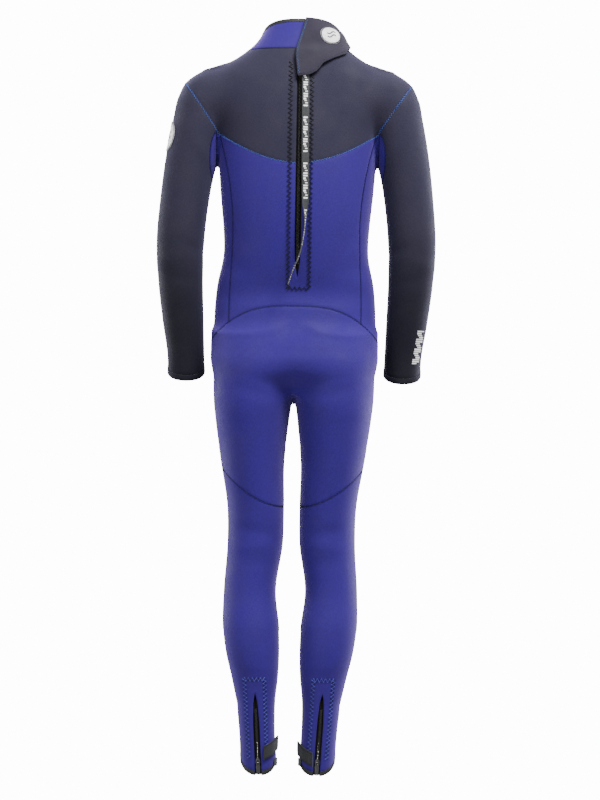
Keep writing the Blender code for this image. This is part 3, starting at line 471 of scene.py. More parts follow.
def collar_seam(p):
    return p[:, 2] - COLLAR_SEAM + COLLAR_FRONT_DROP * smooth((0.010 - p[:, 1]) / 0.060)


def armhole(p):
    out = np.abs(p[:, 0]) - ARMPIT[0]
    slanted = ARMHOLE_OUTWARD[0] * out + ARMHOLE_OUTWARD[1] * (p[:, 2] - ARMPIT[1])
    below = out - 0.035 * smooth((-0.200 - p[:, 2]) / 0.300) * 0.28
    return np.minimum(slanted, below)


def gusset_seam(p):
    away = np.stack([np.abs(p[:, 0]), p[:, 1], p[:, 2]], 1) - GUSSET_CENTRE
    return np.linalg.norm(away / GUSSET_RADII, axis=1) - 1.0


def yoke_seam(p):
    return p[:, 2] - YOKE_SEAM - YOKE_RISE * (np.abs(p[:, 0]) / SEAM_REACH) ** YOKE_CURVE


def waist_seam(p):
    return p[:, 2] - WAIST_SEAM + WAIST_DROP * (np.abs(p[:, 0]) / SEAM_REACH) ** 3


def side_seam(p):
    return np.abs(p[:, 0]) - read(p[:, 2], SIDE_SEAM_TABLE)[0]


def shoulder_seam(p):
    return p[:, 1] - SHOULDER_SEAM_Y


def leg_seam(p):
    return p[:, 1] - read(p[:, 2], LEG_TABLE)[2] - LEG_SEAM_BEHIND


def knee_seam(p):
    return p[:, 2] - KNEE_SEAM - KNEE_SEAM_RISE * (np.abs(p[:, 0]) / KNEE_SEAM_REACH) ** KNEE_SEAM_CURVE


def slot(rows, p, centre):
    """Below zero inside a zip's opening, whose half width goes straight from row to row."""
    table = np.array(sorted(rows))
    return np.abs(p[:, 0] - centre) - np.interp(p[:, 2], table[:, 0], table[:, 1])


def slot_middle(z):
    reach, low, tall = COLLAR_SLANT
    return ZIP_X + reach * smooth((z - low) / tall)


def off_slot_middle(p):
    return p[:, 0] - slot_middle(p[:, 2])


def back_slot(p):
    return slot(BACK_SLOT, p, slot_middle(p[:, 2]))


def leg_centre(z):
    return read(z, LEG_TABLE)[0]


def off_leg_centre(p):
    return np.abs(p[:, 0]) - leg_centre(p[:, 2])


def ankle_slot(p):
    return slot(ANKLE_SLOT, p, np.sign(p[:, 0]) * leg_centre(p[:, 2]))


def height(level):
    return lambda p: p[:, 2] - level


def middle(p):
    return p[:, 0]


# Where each region of the suit lies
def on_arm(p):
    return armhole(p) > -1e-6


def on_trunk(p):
    return ~on_arm(p) & (collar_seam(p) < 1e-6)


def above_yoke(p):
    return on_trunk(p) & (yoke_seam(p) > -1e-6)


def below_yoke(p):
    return on_trunk(p) & (yoke_seam(p) < 1e-6)


def round_ribs(p):
    return below_yoke(p) & (waist_seam(p) > -1e-6)


def below_waist(p):
    return ~on_arm(p) & (waist_seam(p) < 1e-6)


def behind(p):
    return p[:, 1] > 0.0


PANELS = (
    ("collar_binding", lambda p: neck_edge(p) > -COLLAR_BINDING, "black_rubber", BINDING_PROUD),
    ("collar", lambda p: collar_seam(p) > 0, "blue_jersey", 0.0),
    ("cuff_hem", lambda p: on_arm(p) & (cuff_edge(p) < CUFF_HEM), "sleeve_jersey_painted_shade", BINDING_PROUD),
    ("underarm_gusset", lambda p: on_arm(p) & (gusset_seam(p) < 0), "blue_jersey", 0.0),
    ("sleeve", on_arm, "sleeve_jersey_painted_shade", 0.0),
    ("ankle_binding", lambda p: ankle_edge(p) < ANKLE_BINDING, "black_rubber", BINDING_PROUD),
    ("back_yoke", lambda p: above_yoke(p) & (shoulder_seam(p) > 0), "black_jersey", 0.0),
    ("chest_panel", above_yoke, "black_jersey", 0.0),
    ("side_panel", lambda p: round_ribs(p) & (side_seam(p) > 0), "blue_jersey", 0.0),
    ("back_panel", lambda p: round_ribs(p) & behind(p), "blue_jersey", 0.0),
    ("front_panel", round_ribs, "black_jersey", 0.0),
    ("seat_panel", lambda p: (leg_seam(p) > 0) & (knee_seam(p) > 0), "blue_jersey", 0.0),
    ("calf_panel", lambda p: leg_seam(p) > 0, "blue_jersey", 0.0),
    ("front_thigh", lambda p: p[:, 2] > KNEE_PAD_TOP, "black_jersey", 0.0),
    ("knee_pad", lambda p: p[:, 2] > KNEE_PAD_BOTTOM, "knee_fabric", PAD_PROUD),
    ("shin_panel", lambda p: p[:, 2] < KNEE_PAD_BOTTOM, "black_jersey", 0.0),
)
ONE_PIECE = ("collar_binding", "collar", "chest_panel", "back_panel", "front_panel", "seat_panel")


# How near a seam a mesh point is pulled onto it
SNAP = 0.0012


def positions(bm):
    return np.array([v.co for v in bm.verts])


def pulled(points, seam):
    """These points moved along the body's surface onto the seam."""
    for _ in range(3):
        slope = gradient(points, seam)
        share = seam(points) / np.maximum((slope * slope).sum(1), 1e-6)
        points = on_surface(points - share[:, None] * slope, 2)
    return points


def score(bm, seam, within=None, snap=SNAP):
    """Cuts the mesh's faces along a seam, inside a region, and pulls points close to the seam onto it."""
    bm.verts.ensure_lookup_table()
    bm.verts.index_update()
    points = positions(bm)
    value = seam(points)
    slope = gradient(points, seam)
    steepness = np.maximum(np.linalg.norm(slope, axis=1), 1e-6)
    inside = np.ones(len(points), bool) if within is None else within(points)
    near = (np.abs(value / steepness) < snap) & inside & (steepness > 1e-3)
    value[near] = 0.0
    line = [bm.verts[i] for i in np.nonzero(near)[0]]
    if line:
        for vertex, place in zip(line, pulled(points[near], seam)):
            vertex.co = place
    edges = [e for e in bm.edges if value[e.verts[0].index] * value[e.verts[1].index] < 0]
    if edges:
        a = np.array([value[e.verts[0].index] for e in edges])
        b = np.array([value[e.verts[1].index] for e in edges])
        ends = np.array([[v.co for v in e.verts] for e in edges])
        share = a / (a - b)
        crossing = ends[:, 0] + share[:, None] * (ends[:, 1] - ends[:, 0])
        wanted = np.ones(len(edges), bool) if within is None else within(crossing)
        for edge, at, cut in zip(edges, share, wanted):
            if cut:
                line.append(bmesh.utils.edge_split(edge, edge.verts[0], at)[1])
    bmesh.ops.connect_verts(bm, verts=line, check_degenerate=False)


def drop(bm, unwanted):
    """Deletes the faces whose middles the test picks."""
    bm.faces.ensure_lookup_table()
    middles = np.array([f.calc_center_median() for f in bm.faces])
    faces = [bm.faces[i] for i in np.nonzero(unwanted(middles))[0]]
    bmesh.ops.delete(bm, geom=faces, context="FACES")


def back_frame(z):
    """The back zip's place at this height: a point on the arc, and the ways out, across and up."""
    angle = math.asin((z - ZIP_ARC_Z) / ZIP_ARC_RADIUS)
    out = Vector((0.0, math.cos(angle), math.sin(angle)))
    up = Vector((0.0, -math.sin(angle), math.cos(angle)))
    centre = Vector((ZIP_X, ZIP_ARC_Y, ZIP_ARC_Z))
    return centre + out * ZIP_ARC_RADIUS, out, Vector((1.0, 0.0, 0.0)), up


def leg_back(z):
    centre, _, depth, deep = read(np.array([z]), LEG_TABLE)[:, 0]
    return centre, depth + deep


def ankle_frame(side, z):
    """An ankle zip's place at this height, along the straight line down the back of the ankle."""
    low_z, high_z = ANKLE_SLIDER_REST, ANKLE_ZIP_TOP - 0.010
    low, high = leg_back(low_z), leg_back(high_z)
    bottom = Vector((side * low[0], low[1], low_z))
    top = Vector((side * high[0], high[1], high_z))
    up = (top - bottom).normalized()
    across = Vector((0.0, 1.0, 0.0)).cross(up).normalized()
    out = up.cross(across).normalized()
    return bottom + up * ((z - low_z) / up.z), out, across, up


def smooth_route(points, spacing):
    """Points at an even spacing along a smooth curve through these."""
    points = np.array(points)
    padded = np.vstack([2 * points[0] - points[1], points, 2 * points[-1] - points[-2]])
    fine = []
    for i in range(1, len(padded) - 2):
        a, b, c, d = padded[i - 1:i + 3]
        for t in np.linspace(0, 1, 24, endpoint=False):
            fine.append(0.5 * (2 * b + (c - a) * t + (2 * a - 5 * b + 4 * c - d) * t**2
                               + (3 * b - a - 3 * c + d) * t**3))
    return evenly(fine + [points[-1]], spacing)


def leash_points():
    """The leash lies just off the back down to its rearmost point, then hangs straight down."""
    route = []
    for x, z in LEASH_ROUTE:
        depth = zip_arc_y(max(z, ZIP_ARC_Z)) + LEASH_STAND_OFF
        route.append((x, float(depth), z))
    return smooth_route(route, LEASH_SPACING)


def flap_field(p):
    """Below zero inside the flap's outline, seen from behind."""
    outline = np.array(FLAP_OUTLINE)
    along = outline[1:] - outline[:-1]
    away = p[:, None, ::2] - outline[None, :-1]
    share = np.clip((away * along).sum(2) / (along * along).sum(1), 0, 1)
    gap = away - share[..., None] * along
    distance = np.linalg.norm(gap, axis=2)
    nearest = distance.argmin(1)
    pick = np.arange(len(p))
    turn = along[nearest, 0] * away[pick, nearest, 1] - along[nearest, 1] * away[pick, nearest, 0]
    return distance[pick, nearest] * np.where(turn > 0, 1.0, -1.0)


def flap_lift(p):
    """How far the flap's inner face stands off the collar: sewn down at its side, loose over the zip."""
    from_hinge = smooth((p[:, 1] - FLAP_HINGE_Y) / 0.014)
    over_zip = smooth((-0.012 - p[:, 2]) / 0.015) * smooth((0.060 + p[:, 0]) / 0.025)
    hollow = np.exp(-(((p[:, 2] - FLAP_BRIDGE_HEIGHT) / FLAP_BRIDGE_SPREAD) ** 2))
    bridge = FLAP_BRIDGE * hollow * from_hinge * smooth(-p[:, 0] / 0.050)
    return FLAP_SEWN + (FLAP_CLEARANCE - FLAP_SEWN) * from_hinge + FLAP_TONGUE_RISE * over_zip + bridge


def leg_point(side, z, angle):
    """A point on the lower leg and its outward direction, at an angle from the back to the inner side."""
    centre, wide, depth, deep = read(np.array([z]), LEG_TABLE)[:, 0]
    across, out = -side * math.sin(math.radians(angle)), math.cos(math.radians(angle))
    share = (abs(across / wide) ** LIMB_SQUARENESS + abs(out / deep) ** LIMB_SQUARENESS)
    reach = share ** (-1 / LIMB_SQUARENESS)
    point = np.array([side * centre + reach * across, depth + reach * out, z])
    return Vector(point), Vector(outward(point[None])[0])


def strap_axis(side):
    """Two points on the line that the strap turns about, beside the zip."""
    height_of_root, aside, wrap = STRAP_ROOTS[side]
    centre, out, across, up = ankle_frame(side, height_of_root)
    place = centre - across * side * aside + out * (STRAP_STAND_OFF + STRAP_THICKNESS / 2)
    return place, up


# --- fine meshes ----------------------------------------------------------------------------------

GRID_STEP = 0.0050
RIM = 0.0020
SEAM_SINK = 0.0006
EDGE_SINK = 0.0010


def grid_axes():
    return tuple(np.arange(low, high, GRID_STEP) for low, high in
                 ((-0.2313, 0.2314), (-0.1110, 0.1170), (-1.2200, 0.0700)))


def offset(seam, distance):
    """The seam's own field moved sideways by this distance."""
    return lambda p: seam(p) - distance * np.maximum(np.linalg.norm(gradient(p, seam), axis=1), 1e-6)


def score_band(bm, seam, within):
    """Cuts along a seam and along both sides of the band that sinks towards it."""
    score(bm, seam, within)
    for distance in (RIM, -RIM):
        score(bm, offset(seam, distance), within)


def cut_body():
    bm = mesh_of(*traced_surface(grid_axes()))
    low_arm = lambda p: on_arm(p) & (p[:, 2] < -0.40)
    ankle = lambda p: p[:, 2] < -0.95
    score(bm, neck_edge, lambda p: p[:, 2] > -0.03)
    score(bm, cuff_edge, low_arm)
    score(bm, ankle_edge, ankle)
    drop(bm, lambda p: neck_edge(p) > 0)
    drop(bm, lambda p: low_arm(p) & (cuff_edge(p) < 0))
    drop(bm, lambda p: ankle(p) & (ankle_edge(p) < 0))
    score(bm, offset(neck_edge, -0.0013), lambda p: p[:, 2] > -0.03, snap=0.0004)
    score(bm, offset(cuff_edge, 0.0013), low_arm, snap=0.0004)
    score(bm, offset(ankle_edge, 0.0013), ankle, snap=0.0004)
    score_band(bm, lambda p: neck_edge(p) + COLLAR_BINDING, lambda p: p[:, 2] > -0.04)
    score_band(bm, collar_seam, lambda p: p[:, 2] > -0.06)
    score_band(bm, armhole, lambda p: p[:, 2] > -0.26)
    score_band(bm, lambda p: cuff_edge(p) - CUFF_HEM, low_arm)
    score_band(bm, gusset_seam, on_arm)
    score_band(bm, lambda p: ankle_edge(p) - ANKLE_BINDING, ankle)
    score_band(bm, yoke_seam, on_trunk)
    score_band(bm, waist_seam, on_trunk)
    score_band(bm, shoulder_seam, above_yoke)
    score_band(bm, side_seam, round_ribs)
    score_band(bm, leg_seam, below_waist)
    score_band(bm, knee_seam, lambda p: below_waist(p) & (leg_seam(p) > -1e-6))
    in_front = lambda p: below_waist(p) & (leg_seam(p) < 1e-6)
    score_band(bm, middle, lambda p: in_front(p) & (p[:, 2] > -0.62))
    score_band(bm, height(KNEE_PAD_TOP), in_front)
    score_band(bm, height(KNEE_PAD_BOTTOM), in_front)
    spine = lambda p: behind(p) & (p[:, 2] > -0.380)
    heel = lambda p: behind(p) & (p[:, 2] < -1.022)
    score(bm, off_slot_middle, spine)
    score(bm, off_leg_centre, heel)
    score(bm, back_slot, spine, snap=0.0006)
    score(bm, ankle_slot, heel, snap=0.0006)
    drop(bm, lambda p: spine(p) & (back_slot(p) < 0))
    drop(bm, lambda p: heel(p) & (ankle_slot(p) < 0))
    score(bm, offset(back_slot, 0.0014), lambda p: behind(p) & (p[:, 2] > -0.382), snap=0.0004)
    score(bm, offset(ankle_slot, 0.0014), lambda p: behind(p) & (p[:, 2] < -1.020), snap=0.0004)
    bmesh.ops.remove_doubles(bm, verts=bm.verts, dist=0.0003)
    bmesh.ops.dissolve_degenerate(bm, edges=bm.edges, dist=0.0001)
    return bm


def add_mesh(name, points, faces, materials, index=None, angle=50):
    data = bpy.data.meshes.new(name)
    data.from_pydata([tuple(p) for p in points], [], [tuple(f) for f in faces])
    data.shade_smooth()
    data.set_sharp_from_angle(angle=math.radians(angle))
    for material in materials:
        data.materials.append(MATERIAL[material])
    if index is not None:
        data.polygons.foreach_set("material_index", np.array(index, np.int32))
    data.update()
    obj = bpy.data.objects.new(name, data)
    bpy.context.scene.collection.objects.link(obj)
    return obj


def facing_out(obj):
    """The same object with its faces turned outward."""
    bm = bmesh.new()
    bm.from_mesh(obj.data)
    bmesh.ops.recalc_face_normals(bm, faces=bm.faces)
    bm.to_mesh(obj.data)
    bm.free()
    return obj


def border_of(faces):
    """The directed edges that only one face has."""
    seen = {}
    for face in faces:
        for a, b in zip(face, face[1:] + face[:1]):
            seen[(a, b)] = True
    return [(a, b) for a, b in seen if (b, a) not in seen]


def shell(name, points, faces, low, high, materials, open_edge=None):
    """A closed sheet between two offsets from the body, its borders rounded off."""
    used = sorted({i for face in faces for i in face})
    place = {old: new for new, old in enumerate(used)}
    faces = [[place[i] for i in face] for face in faces]
    points = points[used]
    normal = outward(points)
    border = border_of(faces)
    rim = np.array(sorted({i for edge in border for i in edge}))
    low = low(points) if callable(low) else np.full(len(points), low)
    high = high(points) if callable(high) else np.full(len(points), high)
    sink = np.full(len(rim), SEAM_SINK)
    if open_edge is not None:
        bare = open_edge(points[rim])
        sink[bare] = EDGE_SINK
        low[rim[bare]] += EDGE_SINK * 0.6
    high[rim] -= np.minimum(sink, (high[rim] - low[rim]) * 0.4)
    count = len(points)
    both = np.concatenate([points + normal * high[:, None], points + normal * low[:, None]])
    inner = [[i + count for i in reversed(face)] for face in faces]
    walls = [(b, a, a + count, b + count) for a, b in border]
    index = [0] * len(faces) + [2] * len(inner) + [1] * len(walls)
    return add_mesh(name, both, faces + inner + walls, materials, index)


def at_open_edge(p):
    near = np.abs(neck_edge(p)) < 4e-4
    near |= on_arm(p) & (np.abs(cuff_edge(p)) < 4e-4) & (p[:, 2] < -0.4)
    near |= (np.abs(ankle_edge(p)) < 4e-4) & (p[:, 2] < -0.95)
    near |= behind(p) & (p[:, 2] > -0.382) & (np.abs(back_slot(p)) < 4e-4)
    return near | (behind(p) & (p[:, 2] < -1.02) & (np.abs(ankle_slot(p)) < 4e-4))


def make_panels():
    bm = cut_body()
    bm.verts.index_update()
    points = positions(bm)
    faces = [[v.index for v in f.verts] for f in bm.faces]
    middles = np.array([f.calc_center_median() for f in bm.faces])
    bm.free()
    owner = np.full(len(faces), -1)
    names = []
    for name, test, material, proud in PANELS:
        chosen = (owner < 0) & test(middles)
        halves = (("", chosen),)
        if name not in ONE_PIECE:
            halves = (("_left", chosen & (middles[:, 0] > 0)), ("_right", chosen & (middles[:, 0] < 0)))
        for suffix, mine in halves:
            owner[mine] = len(names)
            names.append(name)
            own = [faces[i] for i in np.nonzero(mine)[0]]
            piece = shell(name + suffix + "_foam", points, own, -NEOPRENE, proud,
                          (material, "foam_edge", "lining"), at_open_edge)
            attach(piece, "suit")
            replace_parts(piece, name + suffix)
    return points, faces, owner, names


def seam_lines(points, faces, owner, names):
    """The lines between panels as {pair of panel names: [points of each line]}."""
    side = {}
    for number, face in enumerate(faces):
        for a, b in zip(face, face[1:] + face[:1]):
            side[(a, b)] = owner[number]
    links = {}
    for (a, b), mine in side.items():
        other = side.get((b, a))
        if other is not None and other > mine:
            links.setdefault((mine, other), []).append((a, b))
    lines = {}
    for (first, second), edges in sorted(links.items()):
        joined = {}
        for a, b in edges:
            joined.setdefault(a, []).append(b)
            joined.setdefault(b, []).append(a)
        left = set(joined)
        while left:
            ends = sorted(v for v in left if len(joined[v]) == 1)
            here = ends[0] if ends else min(left)
            path = [here]
            left.discard(here)
            while True:
                onward = [v for v in joined[path[-1]] if v in left]
                if not onward:
                    break
                path.append(onward[0])
                left.discard(onward[0])
            if not ends and len(path) > 2:
                path.append(path[0])
            if len(path) > 2:
                pair = frozenset((names[first], names[second]))
                lines.setdefault(pair, []).append(points[path])
    return lines


# --- threads --------------------------------------------------------------------------------------


def evenly(line, step):
    line = np.asarray(line)
    reach = np.concatenate([[0], np.cumsum(np.linalg.norm(np.diff(line, axis=0), axis=1))])
    wanted = np.linspace(0, reach[-1], max(2, round(reach[-1] / step)) + 1)
    return np.stack([np.interp(wanted, reach, line[:, k]) for k in range(3)], 1)


def tubes(name, lines, radius, material, sides=4, flatten=1.0):
    """Round threads along lines of (points, outward directions), all in one mesh."""
    points, faces = [], []
    base = 0
    turn = [2 * math.pi * (k + 0.5) / sides for k in range(sides)]
    for line, out in lines:
        along = np.gradient(line, axis=0)
        across = np.cross(out, along)
        across /= np.maximum(np.linalg.norm(across, axis=1), 1e-9)[:, None]
        ring = [line + radius * (math.cos(a) * across + math.sin(a) * flatten * out) for a in turn]
        points.append(np.stack(ring, 1).reshape(-1, 3))
        for i in range(len(line) - 1):
            for k in range(sides):
                m = (k + 1) % sides
                faces.append([base + i * sides + k, base + i * sides + m,
                              base + (i + 1) * sides + m, base + (i + 1) * sides + k])
        last = base + (len(line) - 1) * sides
        faces.append([base + k for k in reversed(range(sides))])
        faces.append([last + k for k in range(sides)])
        base += len(line) * sides
    if not points:
        return None
    points = np.concatenate(points)
    a, b, c = (points[[f[k] for f in faces[:sides]]] for k in range(3))
    face_out = np.cross(b - a, c - a)[0]
    centre = points[:sides].mean(0)
    if face_out @ (a[0] - centre) < 0:
        faces = [f[::-1] for f in faces]
    return add_mesh(name, points, faces, (material,), angle=80)


def sewn(line, pitch, half, lift, lift_field=None):
    """A zigzag along a line on the body: its points and outward directions."""
    line = evenly(line, pitch)
    out = outward(line)
    along = np.gradient(line, axis=0)
    across = np.cross(out, along)
    across /= np.maximum(np.linalg.norm(across, axis=1), 1e-9)[:, None]
    sway = half * np.where(np.arange(len(line)) % 2, 1.0, -1.0)
    rise = lift + (lift_field(line) if lift_field else 0.0)
    rise = np.broadcast_to(rise, len(line))
    return line + across * sway[:, None] + out * rise[:, None], out


def running(line, pitch, length, lift):
    """Separate short stitches along a line on the body, each a thread that dips at its ends."""
    line = evenly(line, pitch)
    out = outward(line)
    stitches = []
    for i in range(len(line) - 1):
        way = line[i + 1] - line[i]
        spots = np.array([line[i] + way * length * t for t in (0.0, 0.25, 0.75, 1.0)])
        raised = np.array([-0.0002, lift, lift, -0.0002])
        stitches.append((spots + out[i] * raised[:, None], np.tile(out[i], (4, 1))))
    return stitches


BLUE_SEAMS = (("sleeve", "back_yoke"), ("back_yoke", "back_panel"), ("back_yoke", "side_panel"),
              ("sleeve", "chest_panel"))
BOUND = ("collar_binding", "cuff_hem", "ankle_binding")


def make_seam_threads(lines):
    blue, navy, fine = [], [], []
    for pair, found in sorted(lines.items(), key=lambda item: sorted(item[0])):
        if any(name in pair for name in BOUND):
            continue
        bright = any(pair == frozenset(names) for names in BLUE_SEAMS)
        for line in found:
            (blue if bright else navy).append(sewn(line, 0.0021, 0.0012, 0.00020))
    for name, found, radius, material, slot in (
            ("seam_thread_blue", blue, 0.00036, "thread_blue", "blue_jersey"),
            ("seam_thread_navy", navy, 0.00038, "thread_navy", "black_jersey")):
        piece = tubes(name, found, radius, material)
        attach(piece, "suit")


def surface_line(points):
    """Points on the body's back at these (x, z) places, close together."""
    return on_back(evenly([(x, 0.0, z) for x, z in points], 0.004))


def on_back(line, low=0.0, high=0.14):
    """Slides points along depth only, onto the body's rear surface between these depths."""
    line = line.copy()
    low, high = low + np.zeros(len(line)), high + np.zeros(len(line))
    for _ in range(26):
        line[:, 1] = (low + high) / 2
        inside = body(line) < 0
        low, high = np.where(inside, line[:, 1], low), np.where(inside, high, line[:, 1])
    return line


# --- zips, leash, flap, badges and straps -----------------------------------------------------------


def solid_loft(name, rings, material, angle=40):
    """A closed solid through rings of points that all have the same count."""
    size = len(rings[0])
    points = np.concatenate([np.array(ring) for ring in rings])
    faces = []
    for i in range(len(rings) - 1):
        for k in range(size):
            m = (k + 1) % size
            faces.append([i * size + k, i * size + m, (i + 1) * size + m, (i + 1) * size + k])
    last = (len(rings) - 1) * size
    faces.append(list(reversed(range(size))))
    faces.append([last + k for k in range(size)])
    return facing_out(add_mesh(name, points, faces, (material,), angle=angle))


def join(name, objects):
    """One object of several, which keep their own materials."""
    first = objects[0]
    materials, points, faces, index = [], [], [], []
    for obj in objects:
        base = len(points)
        slots = []
        for material in obj.data.materials:
            if material not in materials:
                materials.append(material)
            slots.append(materials.index(material))
        points += [tuple(v.co) for v in obj.data.vertices]
        for polygon in obj.data.polygons:
            faces.append([i + base for i in polygon.vertices])
            index.append(slots[polygon.material_index])
    data = bpy.data.meshes.new(name)
    data.from_pydata(points, [], faces)
    data.shade_smooth()
    data.set_sharp_from_angle(angle=math.radians(45))
    for material in materials:
        data.materials.append(material)
    data.polygons.foreach_set("material_index", np.array(index, np.int32))
    data.update()
    for obj in objects:
        bpy.data.objects.remove(obj, do_unlink=True)
    made = bpy.data.objects.new(name, data)
    bpy.context.scene.collection.objects.link(made)
    return made


def coil_teeth(name, frames, scale):
    """Two rows of coil beside the middle of a zip, meshed with one another."""
    lines = []
    for number, (centre, out, across, up) in enumerate(frames):
        side = 1 if number % 2 else -1
        spots, outs = [], []
        for reach, depth in ((-0.5, -2.0), (0.4, -1.45), (1.4, -1.35), (2.3, -1.75), (2.6, -2.5)):
            spots.append(centre + across * side * reach * 1e-3 * scale + out * depth * 1e-3)
            outs.append(out + across * side * 0.3)
        lines.append((np.array(spots), np.array(outs)))
    return tubes(name, lines, 0.00055, "zip_coil", sides=6)


def slider_body(frame_of, scale):
    """A zip slider: a domed shield over the chain, flanges beside it and a bridge on top."""
    centre, out, across, up = frame_of
    half_long = SLIDER_LENGTH * scale / 2
    inner = CHAIN_HALF * scale + SLIDER_CLEARANCE
    ceiling = CHAIN_DEPTH[1] + SLIDER_CLEARANCE
    foot = CHAIN_DEPTH[0] + SLIDER_CLEARANCE / 2
    rings = []
    for share, wide, top in ((-1.0, 0.80, 0.35), (-0.94, 0.86, 0.75), (-0.5, 0.90, 1.0), (0.1, 0.93, 1.0),
                             (0.6, 1.0, 1.0), (0.92, 0.98, 0.75), (1.0, 0.92, 0.35)):
        half = SLIDER_HALF * scale * wide
        roof = SLIDER_TOP * scale * top + 0.0001
        half = max(half, inner + 0.0003)
        profile = ((-half, foot), (-inner, foot), (-inner, ceiling), (inner, ceiling), (inner, foot),
                   (half, foot), (half, roof * 0.3), (half * 0.82, roof * 0.85), (half * 0.5, roof),
                   (-half * 0.5, roof), (-half * 0.82, roof * 0.85), (-half, roof * 0.3))
        rings.append([centre + up * half_long * share + across * a + out * o for a, o in profile])
    shield = solid_loft("shield", rings, "slider_metal", angle=50)
    arch = []
    for t in np.linspace(0, 1, 9):
        lift = math.sin(math.pi * t) ** 0.6 * 0.0017 + SLIDER_TOP * scale * 0.6
        arch.append(centre + up * half_long * (1.1 * t - 0.5) + out * lift)
    arch = np.array(arch)
    bridge = tubes("bridge", [(arch, np.tile(np.array(out), (9, 1)))], 0.00062 * scale,
                   "slider_metal", sides=6)
    return [shield, bridge]


def pull_tab(frame_of, half, reach, lean):
    """A flat pull tab with a waist, a round end and a window through it."""
    centre, out, across, up = frame_of
    along = (up * math.copysign(1.0, reach) + across * lean).normalized()
    cross = along.cross(out).normalized()
    long = abs(reach)
    count = 28
    outer, window = [], []
    for k in range(count):
        turn = 2 * math.pi * k / count
        c, s = math.cos(turn), math.sin(turn)
        t = 0.5 - 0.5 * math.copysign(abs(c) ** 0.75, c)
        width = half * (0.66 + 0.34 * float(smooth((t - 0.25) / 0.5)))
        outer.append((t * long, width * math.copysign(abs(s) ** 0.55, s)))
        window.append((long * (0.66 - 0.19 * c), half * 0.50 * s))
    levels = ((0.86, 0.0), (1.0, 0.00018), (1.0, TAB_THICKNESS - 0.00018), (0.86, TAB_THICKNESS))
    points, faces = [], []
    middle_of = long * 0.5
    for shrink, lift in levels:
        for l, w in outer:
            l2 = middle_of + (l - middle_of) * (1 - (1 - shrink) * 0.3)
            points.append(centre + along * l2 + cross * w * (1 - (1 - shrink) * 0.5) + out * lift)
    for lift in (TAB_THICKNESS, 0.0):
        for l, w in window:
            points.append(centre + along * l + cross * w + out * lift)
    for level in range(5):
        for k in range(count):
            m = (k + 1) % count
            faces.append([level * count + k, level * count + m,
                          (level + 1) * count + m, (level + 1) * count + k])
    for k in range(count):
        m = (k + 1) % count
        faces.append([5 * count + k, 5 * count + m, m, k])
    return facing_out(add_mesh("tab", points, faces, ("slider_metal",), angle=35))


def region_mesh(keep_box, seams, keep):
    """The body's surface inside a box, scored along these fields and kept where the test says."""
    lows, highs = keep_box
    axes = tuple(np.arange(lo, hi + PATCH_STEP, PATCH_STEP) for lo, hi in zip(lows, highs))
    bm = mesh_of(*traced_surface(axes))
    for seam, within, snap in seams:
        score(bm, seam, within, snap=snap)
    drop(bm, lambda p: ~keep(p))
    bmesh.ops.remove_doubles(bm, verts=bm.verts, dist=0.0002)
    bm.verts.index_update()
    points, faces = positions(bm), [[v.index for v in f.verts] for f in bm.faces]
    bm.free()
    return points, faces


PATCH_STEP = 0.0040


def make_back_zip():
    high, low = BACK_ZIP_TOP, BACK_ZIP_BOTTOM
    reach = BACK_GUARD_HALF + 0.012
    block = ((-reach, 0.02, low - 0.012), (reach, 0.115, high + 0.012))
    inside = lambda p: (p[:, 2] < high) & (p[:, 2] > low) & behind(p)
    ends = [(height(high), None, 0.0005), (height(low), None, 0.0005)]
    for side, label in ((1, "left"), (-1, "right")):
        aside = lambda p: (p[:, 0] - ZIP_X) * side
        edges = ends + [(lambda p: aside(p) - TAPE_SPLIT, None, 0.0005),
                        (lambda p: aside(p) - BACK_TAPE_HALF, None, 0.0005)]
        keep = lambda p: inside(p) & (aside(p) > TAPE_SPLIT) & (aside(p) < BACK_TAPE_HALF)
        piece = shell("back_zip_woven_tape_" + label, *region_mesh(block, edges, keep), *TAPE_DEPTH,
                      ("zip_tape",) * 3)
        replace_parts(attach(piece, "suit"), "back_zip_tape_" + label)
    edge = lambda p: np.abs(p[:, 0] - ZIP_X) - BACK_GUARD_HALF
    edges = ends + [(edge, None, 0.0005)]
    keep = lambda p: inside(p) & (edge(p) < 0)
    piece = shell("back_zip_inner_guard", *region_mesh(block, edges, keep), *GUARD_DEPTH, ("lining",) * 3)
    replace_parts(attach(piece, "suit"), "back_zip_guard")

    frames = [back_frame(z) for z in np.arange(BACK_CHAIN_BOTTOM, high - 0.003, 0.0011)]
    chain = coil_teeth("back_zip_coil", frames, 1.0)
    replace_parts(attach(chain, "suit"), "back_zip_chain")

    rest = back_frame(BACK_SLIDER_REST)
    slider = join("back_zip_slider_body", slider_body(rest, 1.0))
    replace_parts(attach(slider, "back_slider"), "back_zip_slider")
    centre, out, across, up = rest
    start = (centre + out * (SLIDER_TOP + TAB_GAP), out, across, up)
    grip = join("back_zip_pull", [pull_tab(start, BACK_TAB_HALF, -BACK_TAB_LENGTH, BACK_TAB_LEAN)])
    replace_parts(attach(grip, "back_slider"), "back_pull_tab")


RIBBON_WIDTH = 0.0116
RIBBON_THICK = 0.0009
PRINT_PITCH = 0.0038
PRINT_GROUP = 15
PRINT_REST = 4


def ribbon_frame(t_line):
    """The ribbon's width direction and face direction at each point of its route."""
    along = np.gradient(t_line, axis=0)
    along /= np.linalg.norm(along, axis=1)[:, None]
    twist = np.radians(78.0) * smooth((-0.238 - t_line[:, 2]) / 0.060) + np.radians(6.0)
    across = np.tile((1.0, 0.0, 0.0), (len(t_line), 1))
    across -= (across * along).sum(1)[:, None] * along
    across /= np.linalg.norm(across, axis=1)[:, None]
    face = np.cross(across, along)
    face *= np.where(face[:, 1] > 0, 1.0, -1.0)[:, None]
    turned = across * np.cos(twist)[:, None] + face * np.sin(twist)[:, None]
    face = face * np.cos(twist)[:, None] - across * np.sin(twist)[:, None]
    return turned, face


